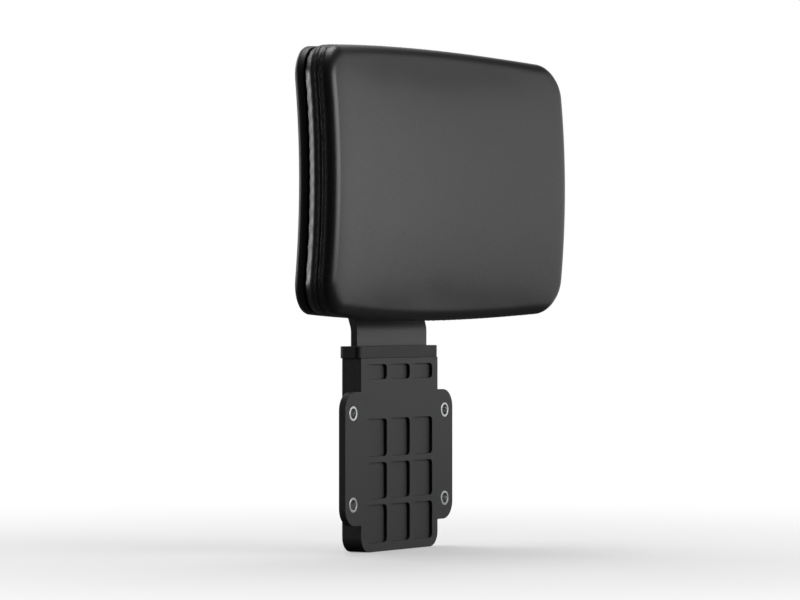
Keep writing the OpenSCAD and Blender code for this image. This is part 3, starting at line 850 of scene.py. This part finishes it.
def cover_section():
    """The cover's cross section from the front panel to the hem: distances along it, and its points."""
    wall = [(0.0, d) for d in np.linspace(EDGE_D, SLOPE_D, 20)[1:]]
    bent = np.linspace(0.0, SLOPE_TURN, 8)[1:]
    wall += [(SLOPE * b * b / (2 * SLOPE_TURN), SLOPE_D + b) for b in bent]
    start, depth = wall[-1]
    wall += [(start + SLOPE * (d - depth), d) for d in np.linspace(depth, SLOPE_END_D, 16)[1:]]
    start = wall[-1][0]
    turn_w = HEM_START - start
    turn_d = HEM_D - SLOPE_END_D
    angles = np.linspace(REAR_TURN_START, math.pi / 2, 20)[1:]
    rear = [(start + turn_w * (1.0 - math.cos(a)), SLOPE_END_D + turn_d * math.sin(a)) for a in angles]
    hem = [(inset, HEM_D) for inset in np.linspace(HEM_START, HEM_W, HEM_STEPS + 1)[1:]]
    line = np.array(rolled_edge(0.0, 40) + wall + rear + hem)
    gone = np.concatenate([[0.0], np.cumsum(np.linalg.norm(np.diff(line, axis=0), axis=1))])
    return gone, line


def in_steps(*legs):
    """Places along the section from 0 on: each leg's end, reached in a number of equal steps."""
    places = [0.0]
    for end, steps in legs:
        places += np.linspace(places[-1], end, steps + 1)[1:].tolist()
    return np.array(places)


SECTION_GONE, SECTION_LINE = cover_section()
ON_WALL = (SECTION_LINE[:, 1] >= EDGE_D) & (SECTION_LINE[:, 1] <= SLOPE_END_D)
SEAM_AT = float(np.interp(SEAM_D, SECTION_LINE[ON_WALL, 1], SECTION_GONE[ON_WALL]))
WALL_END = float(np.interp(SLOPE_END_D, SECTION_LINE[ON_WALL, 1], SECTION_GONE[ON_WALL]))
HEM_AT = float(SECTION_GONE[-HEM_STEPS - 1])
HEM_END = float(SECTION_GONE[-1])
COARSE_AT = in_steps((WALL_END, 8), (HEM_AT, 3), (HEM_END, 1))
FINE_AT = in_steps((SEAM_AT - SEAM_REACH, 8), (SEAM_AT + SEAM_REACH, 30), (HEM_AT, 9), (HEM_END, 3))


def cover_sheet(name, places, steps):
    """The cover as a sheet, with a ring at each of the places along its cross section."""
    insets = np.interp(places, SECTION_GONE, SECTION_LINE[:, 0])
    depths = np.interp(places, SECTION_GONE, SECTION_LINE[:, 1])
    return pad_layer(name, list(zip(insets, depths)), steps, LEATHERETTE, FRONT_PANEL)


def point_rows(mesh):
    """The place of each point of a mesh, and the direction that it faces, as arrays."""
    places = np.empty((len(mesh.vertices), 3))
    directions = np.empty_like(places)
    mesh.vertices.foreach_get("co", places.ravel())
    mesh.vertex_normals.foreach_get("vector", directions.ravel())
    return places, directions


def put_points(mesh, points):
    """Moves a mesh's points to new places."""
    mesh.vertices.foreach_set("co", points.ravel())
    mesh.update()


def inflated(piece, pinned):
    """How far the padding lifts each point of a sheet in a cloth simulation, evened out as taut cover is."""
    rest, out = point_rows(piece.data)
    piece.vertex_groups.new(name="held").add(pinned, 1.0, "REPLACE")
    cloth = piece.modifiers.new("cloth", "CLOTH")
    for name, value in CLOTH.items():
        setattr(cloth.settings, name, value)
    cloth.settings.effector_weights.gravity = 0.0
    cloth.collision_settings.use_collision = False
    scene = bpy.context.scene
    for step in range(SETTLE_FRAMES):
        scene.frame_set(step + 1)
    graph = bpy.context.evaluated_depsgraph_get()
    settled = bpy.data.meshes.new_from_object(piece.evaluated_get(graph))
    lift = np.sum((point_rows(settled)[0] - rest) * out, axis=1) / MM
    scene.frame_set(1)
    lift = np.where(lift > 0.0, SWELL_CAP * np.tanh(lift / SWELL_CAP), DIP_CAP * np.tanh(lift / DIP_CAP))
    count = len(lift)
    pairs = np.array([edge.vertices for edge in piece.data.edges])
    first = pairs[:, 0]
    second = pairs[:, 1]
    sides = np.bincount(pairs.ravel(), minlength=count)
    for _ in range(EVEN_ROUNDS):
        near = np.bincount(first, lift[second], count) + np.bincount(second, lift[first], count)
        lift = 0.5 * lift + 0.5 * near / sides
    lift[pinned] = 0.0
    return lift


def between(values, places, axis):
    """Values at fractional places along an axis of an array."""
    low = np.clip(np.floor(places).astype(int), 0, values.shape[axis] - 1)
    high = np.clip(low + 1, 0, values.shape[axis] - 1)
    shape = [1] * values.ndim
    shape[axis] = len(places)
    part = (places - low).reshape(shape)
    return np.take(values, low, axis) * (1 - part) + np.take(values, high, axis) * part


def cover_swell():
    """How far the simulated cover lifts at each point of the fine sheet, in millimetres."""
    across, up = COARSE
    columns = 2 * (across + up)
    count = len(COARSE_AT)
    sheet = cover_sheet("swell", COARSE_AT, COARSE)
    lift = inflated(sheet, list(range((count - 2) * columns, count * columns)))
    bpy.data.objects.remove(sheet)
    walls = lift[: count * columns].reshape(count, columns)
    loops = np.concatenate([walls, walls[:, :1]], axis=1)
    levels = np.interp(FINE_AT, COARSE_AT, np.arange(count))
    fine_walls = between(between(loops, levels, 0), np.arange(FINER * columns) / FINER, 1)
    front = lift[panel_numbers(0, count * columns, across, up)]
    fine_front = between(front, np.arange(FINER * up + 1) / FINER, 0)
    fine_front = between(fine_front, np.arange(FINER * across + 1) / FINER, 1)
    return np.concatenate([fine_walls.ravel(), fine_front[1:-1, 1:-1].ravel()])


def bell(values, middle, width):
    """A bell curve of height 1."""
    return np.exp(-(((values - middle) / width) ** 2))


def seam_relief(around):
    """Height of the seam over the cover: the rear strip laps over the front, with sunk rows and puckers."""
    at = FINE_AT[:, None]
    off = at - SEAM_AT
    run = around[None, :]
    circle = 2 * math.pi
    lap = LAP_RISE * (1.0 + np.tanh(off / LAP_EDGE)) * np.exp(-np.maximum(off, 0.0) / LAP_FADE)
    groove = GROOVE_SINK * bell(off, GROOVE_AT, GROOVE_W)
    sunk = 0.6 + 0.4 * np.cos(circle * run / PITCH)
    rows = ROW_SINK * sunk * (bell(off, -ROW_GAP, ROW_W) + bell(off, ROW_GAP, ROW_W))
    drift = 0.8 * np.sin(run / 31.0) + 0.6 * np.sin(run / 17.0 + 1.3)
    wave = np.sin(circle * run / PUCKER_RUN + 2.0 * drift) * (0.6 + 0.4 * np.sin(run / 23.0 + 0.7))
    puckers = PUCKER * wave * (bell(off, -PUCKER_GAP, PUCKER_W) + bell(off, PUCKER_GAP, PUCKER_W))
    pulls = PULL * np.sin(circle * run / PULL_RUN + 3.0 * drift) * bell(at, WALL_END - 1.0, PULL_W)
    return lap - groove - rows + puckers + pulls


def edge_loop(name, points, away, material):
    """A closed path for a seam, with the direction away from the cover at each point."""
    count = len(points)
    mesh = bpy.data.meshes.new(name)
    mesh.from_pydata([tuple(p) for p in points], [(i, (i + 1) % count) for i in range(count)], [])
    direction = mesh.attributes.new("away", "FLOAT_VECTOR", "POINT")
    direction.data.foreach_set("vector", np.asarray(away).ravel())
    return new_object(name, mesh, material)


def upholstery():
    """The sewn cover and its two rows of stitches."""
    columns = 2 * sum(FINE)
    walls = slice(0, len(FINE_AT) * columns)

    def ring_at(off):
        level = int(np.argmin(abs(FINE_AT - SEAM_AT - off)))
        return slice(level * columns, (level + 1) * columns)

    cover = cover_sheet("pad_upholstery", FINE_AT, FINE)
    places, normals = point_rows(cover.data)
    put_points(cover.data, places + normals * cover_swell()[:, None] * MM)
    points, normals = point_rows(cover.data)
    seam = points[ring_at(0.0)]
    steps = np.linalg.norm(np.diff(seam, axis=0, append=seam[:1]), axis=1) / MM
    total = steps.sum()
    turns = round(total / PITCH)
    around = np.concatenate([[0.0], np.cumsum(steps)[:-1]]) * (turns * PITCH / total)
    relief = seam_relief(around).reshape(-1, 1) * MM
    points[walls] += normals[walls] * relief
    put_points(cover.data, points)
    sizes = (total / turns * MM, STITCH * MM, THREAD_R * MM, STITCH_SLANT)
    values = {**dict(zip(STITCH_SIZES, sizes)), "Material": THREAD}
    rows = []
    for name, off in (("pad_stitches_a", -ROW_GAP), ("pad_stitches_b", ROW_GAP)):
        part = ring_at(off)
        path = points[part] - normals[part] * STITCH_SINK * MM
        row = edge_loop(name, path, normals[part], THREAD)
        rows.append(sharpened(shaped(row, STITCHES, values), 180.0))
    return thickened(cover, COVER_T - COVER_SLACK), rows


# Inside the pad

FOAM_UNDER = COVER_T + 1.6
FOAM_LIP = BOARD_INSET - 0.3
BOARD_ROUND = 0.5
SEAT_MARGIN = 6.0
SEAT_CORNER = 8.0
TEE_FLANGE_R = 8.2
TEE_HOLE_R = 4.0
TEE_DEPTH = 6.9
# Half width and spare length of a lug's slot, and the lip round it as pairs of reach and height
SLOT_HALF = 2.3
SLOT_SPARE = 0.5
SLOT_CORNER = 1.5
LIP = [
    (0.0, -2.2), (0.0, 0.35), (0.22, 0.62), (0.6, 0.72), (1.0, 0.6), (1.35, 0.2), (1.6, -0.6), (1.6, -2.2),
]
# The shell's rim as pairs of inset and depth, and the rim of a screw seat as pairs of radius and height
SHELL_RIM = [
    (1.7, 18.9), (1.3, 19.0), (1.05, 19.4), (0.75, 21.0), (0.45, 22.6), (0.5, 23.5), (0.8, 24.3),
    (1.3, 25.05), (2.0, 25.6), (2.9, 25.95), (SHELL_RIM_W, SHELL_RIM_D),
]
CUP_RIM = [(5.5, -1.0), (5.9, -0.1), (5.75, 0.25), (5.3, 0.35), (4.9, 0.2), (4.6, -0.3)]
CUP_FOOT_D = 17.2


def padding():
    """The foam block, which laps round the board's edge."""
    rear = HEM_D - FOAM_UNDER
    section = rolled_edge(FOAM_UNDER, 7) + [(FOAM_UNDER, 12.5), (3.8, 14.6), (6.0, rear), (FOAM_LIP, rear)]
    section += [(FOAM_LIP, BOARD_D + 2.0), (FOAM_LIP, BOARD_D - 0.7)]
    return pad_layer("pad_foam", section, INNER_STEPS, FOAM, FRONT_PANEL, FLAT_PANEL)


def board():
    """The plywood board, with a flat seat for the lugs and its holes."""
    far = BOARD_D + BOARD_T
    edge = [(BOARD_INSET + BOARD_ROUND, BOARD_D), (BOARD_INSET, BOARD_D + BOARD_ROUND)]
    edge += [(BOARD_INSET, far - BOARD_ROUND), (BOARD_INSET + BOARD_ROUND, far)]
    plate = pad_layer("pad_board", edge, INNER_STEPS, PLYWOOD, FLAT_PANEL, FLAT_PANEL)
    half_w = LUG_OUTER + SEAT_MARGIN
    half_h = LUG_ROOT + SEAT_MARGIN
    seat_outline = rounded_rectangle(-half_w, AXLE_Z - half_h, half_w, AXLE_Z + half_h, SEAT_CORNER)
    seat = prism("seat", seat_outline, PAD_FRONT_Y + BOARD_D + 3, SEAT_Y, "Y", PLYWOOD)
    combine(plate, [seat], "UNION")
    ledge = SEAT_Y - TEE_DEPTH
    steps = [(0, -30), (TEE_FLANGE_R, -30), (TEE_FLANGE_R, ledge), (TEE_HOLE_R, ledge)]
    steps += [(TEE_HOLE_R, SEAT_Y + 2), (0, SEAT_Y + 2)]
    holes = [lathe("hole", steps, (x, 0, z), "Y", PLYWOOD, 24) for x, z in LUG_SPOTS]
    return sharpened(combine(plate, holes, "DIFFERENCE"), 35.0)


def curve_at(x, z):
    """How far a point of the pad lies behind the pad's middle."""
    return PAD_BOW * (2 * z / PAD_H) ** 2 - PAD_WRAP * (2 * x / PAD_W) ** 2


def shell_back(x, z):
    """Place of the shell's back, measured along Y, at a point of the pad."""
    u = abs(x / (PAD_W / 2 - SHELL_RIM_W)) ** SHELL_FULLNESS
    v = abs(z / (PAD_H / 2 - SHELL_RIM_W)) ** SHELL_FULLNESS
    return PAD_FRONT_Y + curve_at(x, z) + SHELL_RIM_D + SHELL_RISE * (1 - u) * (1 - v)


def lug_slot(side, out, corner):
    """Outline of a lug's slot in the rear shell, wider by an amount."""
    middle = side * (LUG_INNER + LUG_OUTER) / 2
    half_w = SLOT_HALF + out
    half_h = LUG_ROOT + SLOT_SPARE + out
    return rounded_rectangle(middle - half_w, AXLE_Z - half_h, middle + half_w, AXLE_Z + half_h, corner)


def slot_lip(name, side):
    """The moulded lip round a lug's slot in the rear shell."""
    points = []
    for out, lift in LIP:
        loop = lug_slot(side, out, SLOT_CORNER + out)
        points += [(x, shell_back(x, z - PAD_Z) + lift, z) for x, z in loop]
    faces = loop_faces(len(LIP), len(points) // len(LIP), True)
    return sharpened(outward(mesh_piece(name, points, faces, SHELL_PLASTIC)), 50.0)


def screw_cup(x, z, number):
    """The sunk seat of a shell screw, down to the board."""
    base = PAD_FRONT_Y + curve_at(x, z)
    rim = shifted(CUP_RIM, shell_back(x, z) - base)
    profile = [(2.2, CUP_FOOT_D), (5.5, CUP_FOOT_D)] + rim + [(4.6, SHELL_SCREW_D), (2.2, SHELL_SCREW_D)]
    return lathe("shell_screw_seat_%d" % number, profile, (x, base, PAD_Z + z), "Y", SHELL_PLASTIC, 40)


def rear_shell():
    """The moulded rear shell: a rolled rim and a crowned back, with the slots and screw seats let in."""
    shell = pad_layer("shell_back", SHELL_RIM, SHELL_STEPS, SHELL_PLASTIC, None, SHELL_PANEL)
    thickened(shell, SHELL_T)
    far_x, far_z = SHELL_SCREW
    spots = [(x, z) for x in (-far_x, far_x) for z in (-far_z, far_z)]
    bore = [(0, -14), (5.2, -14), (5.2, 5), (0, 5)]
    slots = [lug_slot(side, 0.2, 1.6) for side in (-1, 1)]
    cutters = [prism("slot", slot, SEAT_Y + LUG_T + 0.5, AXLE_Y, "Y", SHELL_PLASTIC) for slot in slots]
    cutters += [lathe("bore", bore, (x, 0, PAD_Z + z), "Y", SHELL_PLASTIC) for x, z in spots]
    combine(shell, cutters, "DIFFERENCE")
    cups = [screw_cup(x, z, number) for number, (x, z) in enumerate(spots)]
    fixings = [(x, PAD_FRONT_Y + curve_at(x, z) + SHELL_SCREW_D, PAD_Z + z) for x, z in spots]
    return sharpened(shell, 50.0), cups, fixings


# Hinge and strap, with turned profiles as pairs of radius and place

BOLT_HEAD = [(0.0, -5.0), (5.6, -5.0), (6.2, -4.7), (6.5, -4.0), (6.5, -0.4), (6.3, 0.0), (AXLE_R, 0.0)]
BOLT_TURN = [(AXLE_R, 0.0), (AXLE_R, 0.16), (3.45, 0.55), (3.45, 0.7), (AXLE_R, 1.09)]
BOLT_END = [(AXLE_R, -0.8), (3.2, 0.0), (0.0, 0.0)]
BOLT_PAST = 9.0
BOLT_SOCKET_R = 2.9
NUT_H = 6.0
NUT_R = 7.5
SLIT_Y = (17.3, 18.0)
SLIT_Z = (AXLE_Z - 12.0, AXLE_Z - 3.0)
NUT_CORNERS = [(0.0, -1.0), (6.6, -1.0), (6.6, 0.0), (7.6, 0.7), (7.6, 5.2), (6.5, NUT_H), (0.0, NUT_H)]
NUT_COLLAR = [(4.9, 5.6), (6.1, 5.6), (6.1, 7.2), (5.9, 7.7), (5.5, 8.0), (5.0, 7.9), (4.9, 7.5)]
NUT_BORE = [(0.0, -2.0), (4.05, -2.0), (4.05, 10.0), (0.0, 10.0)]
NUT_NYLON = [(4.1, 6.1), (4.85, 6.1), (4.85, 7.55), (4.5, 7.6), (4.1, 7.3)]


def on_axle(name, profile, material):
    """A turned piece on the hinge's axle."""
    return lathe(name, profile, (0, AXLE_Y, AXLE_Z), "X", material)


def hexagon(radius, first):
    """Outline of a hexagon round the axle, with its first corner at an angle."""
    return arc((AXLE_Y, AXLE_Z), radius, first, first + 300.0, 5)


def pivot_bolt():
    """The pivot bolt: a turned head with a hexagon socket, a plain shank and a threaded end."""
    head = -LUG_OUTER - WASHER_T
    end = LUG_OUTER + WASHER_T + 2 * DISC_H + BOLT_PAST
    start = LUG_OUTER + WASHER_T + 0.5
    profile = shifted(BOLT_HEAD, head)
    for turn in range(int((end - 0.9 - start) / THREAD_PITCH)):
        profile += shifted(BOLT_TURN, start + THREAD_PITCH * turn)
    bolt = on_axle("pivot_bolt", profile + shifted(BOLT_END, end), ZINC)
    socket = prism("socket", hexagon(BOLT_SOCKET_R, 30.0), head - 6, head - 2, "X", ZINC)
    combine(bolt, [socket], "DIFFERENCE")
    return sharpened(bolt, 30.0)


def lock_nut():
    """The lock nut's hexagon with turned corners and its rolled collar, and the nylon ring in it."""
    start = LUG_OUTER + WASHER_T + 2 * DISC_H
    nut = prism("pivot_nut", hexagon(NUT_R, 0.0), start, start + NUT_H, "X", ZINC)
    for profile, operation in ((NUT_CORNERS, "INTERSECT"), (NUT_COLLAR, "UNION"), (NUT_BORE, "DIFFERENCE")):
        combine(nut, [on_axle("turned", shifted(profile, start), ZINC)], operation)
    nylon = on_axle("pivot_nut_ring", shifted(NUT_NYLON, start), NYLON)
    return sharpened(nut, 28.0), nylon


def strap():
    """The strap, with the slit where its rolled end meets it at the eye."""
    blade = merged("blade", "strap", COATED_STEEL)
    front, back = SLIT_Y
    low, high = SLIT_Z
    slit = [(front, low), (back, low), (back, high), (front, high)]
    combine(blade, [prism("slit", slit, -60, 60, "X", COATED_STEEL)], "DIFFERENCE")
    return rounded(blade, 0.5, 40.0)


# Pieces and what they stand for


def softened(node, name, material, width_mm, body, slot):
    """A piece that is a CAD node with its edges rounded, with its body, its slot and that node."""
    return rounded(merged(node, name, material), width_mm), body, slot, [node]


COVER, ROWS = upholstery()
SHELL, CUPS, SHELL_FIXINGS = rear_shell()
NUT, NUT_RING = lock_nut()
STOP_FIXINGS = [(x, RECEIVER_BACK_Y, 40.0) for x in (-27.0, 27.0)]
FOOT_FIXINGS = [(x, RECEIVER_BACK_Y, -56.0) for x in (-36.0, 36.0)]
LUG_FIXINGS = [(x, SEAT_Y + LUG_T, z) for x, z in LUG_SPOTS]

PIECES = [
    softened("receiver_base", "receiver_tray", RECEIVER_PLASTIC, 0.6, "receiver", "receiver_plastic"),
    softened("channel_frame", "receiver_frame", RECEIVER_PLASTIC, 0.6, "receiver", "receiver_plastic"),
    softened("receiver_cover", "receiver_back", RECEIVER_PLASTIC, 0.8, "receiver", "receiver_plastic"),
    softened("top_bezel", "receiver_bezel", BEZEL_PLASTIC, 0.6, "receiver", "receiver_plastic"),
    softened("mount_sleeves", "bolt_sleeves", ZINC, 0.25, "receiver", "zinc_steel"),
    (screws("stop_screw_set", STOP_FIXINGS, (6.5, 3.4), (4.0, 10.0), (2.3, 2.2), ZINC),
     "receiver", "zinc_steel", ["stop_screws"]),
    (screws("foot_screw_set", FOOT_FIXINGS, (3.4, 2.3), (1.4, 10.5), (1.5, 1.4), BLACK_OXIDE),
     "receiver", "black_screw", ["cover_screws"]),
    (strap(), "slider", "coated_steel", ["blade"]),
    softened("eye_bushes", "eye_bush_pair", ACETAL, 0.2, "slider", "acetal"),
    softened("left_tilt_bracket", "left_lug", COATED_STEEL, 0.45, "pad", "coated_steel"),
    softened("right_tilt_bracket", "right_lug", COATED_STEEL, 0.45, "pad", "coated_steel"),
    (screws("lug_screw_set", LUG_FIXINGS, (5.0, 2.8), (2.9, 10.5), (2.3, 1.7), ZINC),
     "pad", "zinc_steel", ["bracket_screws"]),
    (board(), "pad", "plywood", ["carrier_board"]),
    (padding(), "pad", "foam", ["foam_core"]),
    (COVER, "pad", "upholstery", ["pad_cover"]),
    (ROWS[0], "pad", "upholstery", []),
    (ROWS[1], "pad", "upholstery", []),
    (SHELL, "pad", "shell_plastic", ["rear_shell"]),
    (slot_lip("shell_slot_lip_left", -1), "pad", "shell_plastic", []),
    (slot_lip("shell_slot_lip_right", 1), "pad", "shell_plastic", []),
    (screws("shell_screw_set", SHELL_FIXINGS, (4.1, 2.4), (1.9, 12.5), (1.8, 1.4), BLACK_OXIDE),
     "pad", "black_screw", ["shell_screws"]),
    (pivot_bolt(), "pad", "zinc_steel", ["tilt_axle"]),
    softened("axle_washers", "pivot_washers", ZINC, 0.25, "pad", "zinc_steel"),
    softened("spring_washers", "disc_springs", SPRING_STEEL, 0.15, "pad", "spring_steel"),
    (NUT, "pad", "zinc_steel", ["axle_nut"]),
    (NUT_RING, "pad", "acetal", []),
]
PIECES += [(cup, "pad", "shell_plastic", []) for cup in CUPS]
for piece, body, slot, nodes in PIECES:
    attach(piece, body)
    if nodes:
        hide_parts(*nodes)

KEPT = {
    "front_glides": ACETAL, "rear_glides": ACETAL, "stop_inserts": BRASS, "detent_spring": SPRING_STEEL,
    "detent_spring_screw": ZINC, "tee_nuts": ZINC, "cover_staples": ZINC,
}
for node, material in KEPT.items():
    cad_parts[node].material_slots[0].material = material


# Stage, light and camera

FLOOR_Z = cad_box[0][2] - 0.2 * MM
FLOOR_HALF = 6.0
FLOOR_FADE = (0.12, 0.7)
AMBIENT = 0.07
LAMP_AIM = Vector((0.0, 0.0, 0.12))
VIEW_AZIMUTH = -58.3
MIRROR_AZIMUTH = -180.0 - VIEW_AZIMUTH
VIEW_DISTANCE = 2.7
VIEW_HEIGHT = 0.105
VIEW_LENS = 182.0

# Where gloss starts to see the white of the floor and the world, where fully, and how much of it
FLOOR_GLOSS = (0.6, 0.68, 0.54)
WORLD_GLOSS = (0.75, 0.97, 1.0)

# Lamps: azimuth, elevation, distance, width, height and watts
LAMPS = {
    "key": (72.0, 5.0, 2.2, 1.5, 0.6, 1.8),
    "fill": (52.0, 6.0, 2.6, 3.0, 2.0, 8.0),
    "front": (18.0, 11.0, 2.4, 1.8, 1.5, 38.0),
    "top": (120.0, 70.0, 2.2, 1.4, 1.4, 26.0),
    "rear": (165.0, 25.0, 2.6, 1.2, 0.9, 16.0),
    "strip": (-164.0, 4.0, 2.2, 0.4, 0.9, 17.0),
}


def backdrop(look, axes, azimuth, near, far, level):
    """What sees the white: the camera everywhere, gloss and glass only far out along a direction."""
    rays = look.add("ShaderNodeLightPath")
    gloss = look.math("MAXIMUM", rays["Is Glossy Ray"], rays["Is Transmission Ray"])
    around = math.radians(azimuth)
    depth = axes["Y"] * math.cos(around) - axes["X"] * math.sin(around)
    return look.math("MAXIMUM", rays["Is Camera Ray"], gloss * look.ease(depth, near, far, 0.0, level))


def stage_floor():
    """A pale floor that keeps the shadow and fades to white away from the part."""
    material = bpy.data.materials.new("pale_floor")
    look = Tree(emptied(material))
    place = look.add("ShaderNodeTexCoord")["Object"]
    axes = look.axes(place)
    gone = (axes["X"] ** 2.0 + axes["Y"] ** 2.0) ** 0.5
    seen = backdrop(look, axes, MIRROR_AZIMUTH, *FLOOR_GLOSS)
    mottle = look.noise(place, 400.0, 2.0)
    colour = look.blend(seen, grey(0.08), look.blend(mottle, grey(0.9), grey(0.92)))
    lit = look.add("ShaderNodeBsdfDiffuse", {}, {"Color": colour})
    white = look.add("ShaderNodeEmission", {}, {"Color": grey(1.0), "Strength": 1.0})
    fade = look.ease(gone, *FLOOR_FADE, 0.4, 1.0) * seen
    mixed = look.add("ShaderNodeMixShader", {}, {0: fade, 1: lit, 2: white})
    look.add("ShaderNodeOutputMaterial", {}, {"Surface": mixed})
    half = FLOOR_HALF / MM
    corners = [(x * half, y * half, 0.0) for x, y in ((-1, -1), (1, -1), (1, 1), (-1, 1))]
    floor = mesh_piece("floor", corners, [(0, 1, 2, 3)], material)
    floor.data.transform(Matrix.Translation((0.0, 0.0, FLOOR_Z)))


def stage_world():
    """White behind the part for the eye and for gloss, dark at the sides, and a low even light."""
    world = bpy.data.worlds.new("studio")
    bpy.context.scene.world = world
    look = Tree(emptied(world))
    axes = look.axes(look.add("ShaderNodeTexCoord")["Generated"])
    shown = backdrop(look, axes, VIEW_AZIMUTH, *WORLD_GLOSS)
    ambient = look.add("ShaderNodeBackground", {}, {"Color": grey(1.0), "Strength": AMBIENT})
    white = look.add("ShaderNodeBackground", {}, {"Color": grey(1.0), "Strength": 1.0})
    mixed = look.add("ShaderNodeMixShader", {}, {0: shown, 1: ambient, 2: white})
    look.add("ShaderNodeOutputWorld", {}, {"Surface": mixed})


def aimed(name, data, spot, aim):
    """Puts a lamp or a camera at a spot, turned towards its aim."""
    holder = bpy.data.objects.new(name, data)
    holder.location = spot
    holder.rotation_euler = (spot - aim).to_track_quat("Z", "Y").to_euler()
    bpy.context.collection.objects.link(holder)
    return holder


def softbox(name, azimuth, elevation, distance, width, height, watts):
    """A rectangular lamp that faces the part."""
    around = math.radians(azimuth)
    lift = math.radians(elevation)
    way = Vector((math.sin(around) * math.cos(lift), -math.cos(around) * math.cos(lift), math.sin(lift)))
    lamp = bpy.data.lights.new(name, "AREA")
    lamp.shape = "RECTANGLE"
    lamp.size = width
    lamp.size_y = height
    lamp.energy = watts
    aimed(name, lamp, LAMP_AIM + way * distance, LAMP_AIM)


def stage_camera():
    """The photograph's direction, distance and eye level, with a longer lens on the part alone."""
    lens = bpy.data.cameras.new("camera")
    lens.lens = VIEW_LENS
    lens.sensor_width = 36.0
    lens.clip_end = 50.0
    around = math.radians(VIEW_AZIMUTH)
    spot = Vector((math.sin(around) * VIEW_DISTANCE, -math.cos(around) * VIEW_DISTANCE, VIEW_HEIGHT))
    aim = Vector((0.0, 0.0, (cad_box[0][2] + cad_box[1][2]) / 2))
    bpy.context.scene.camera = aimed("camera", lens, spot, aim)


stage_floor()
stage_world()
for lamp_name, values in LAMPS.items():
    softbox(lamp_name, *values)
stage_camera()
bpy.context.scene.view_settings.view_transform = "Standard"
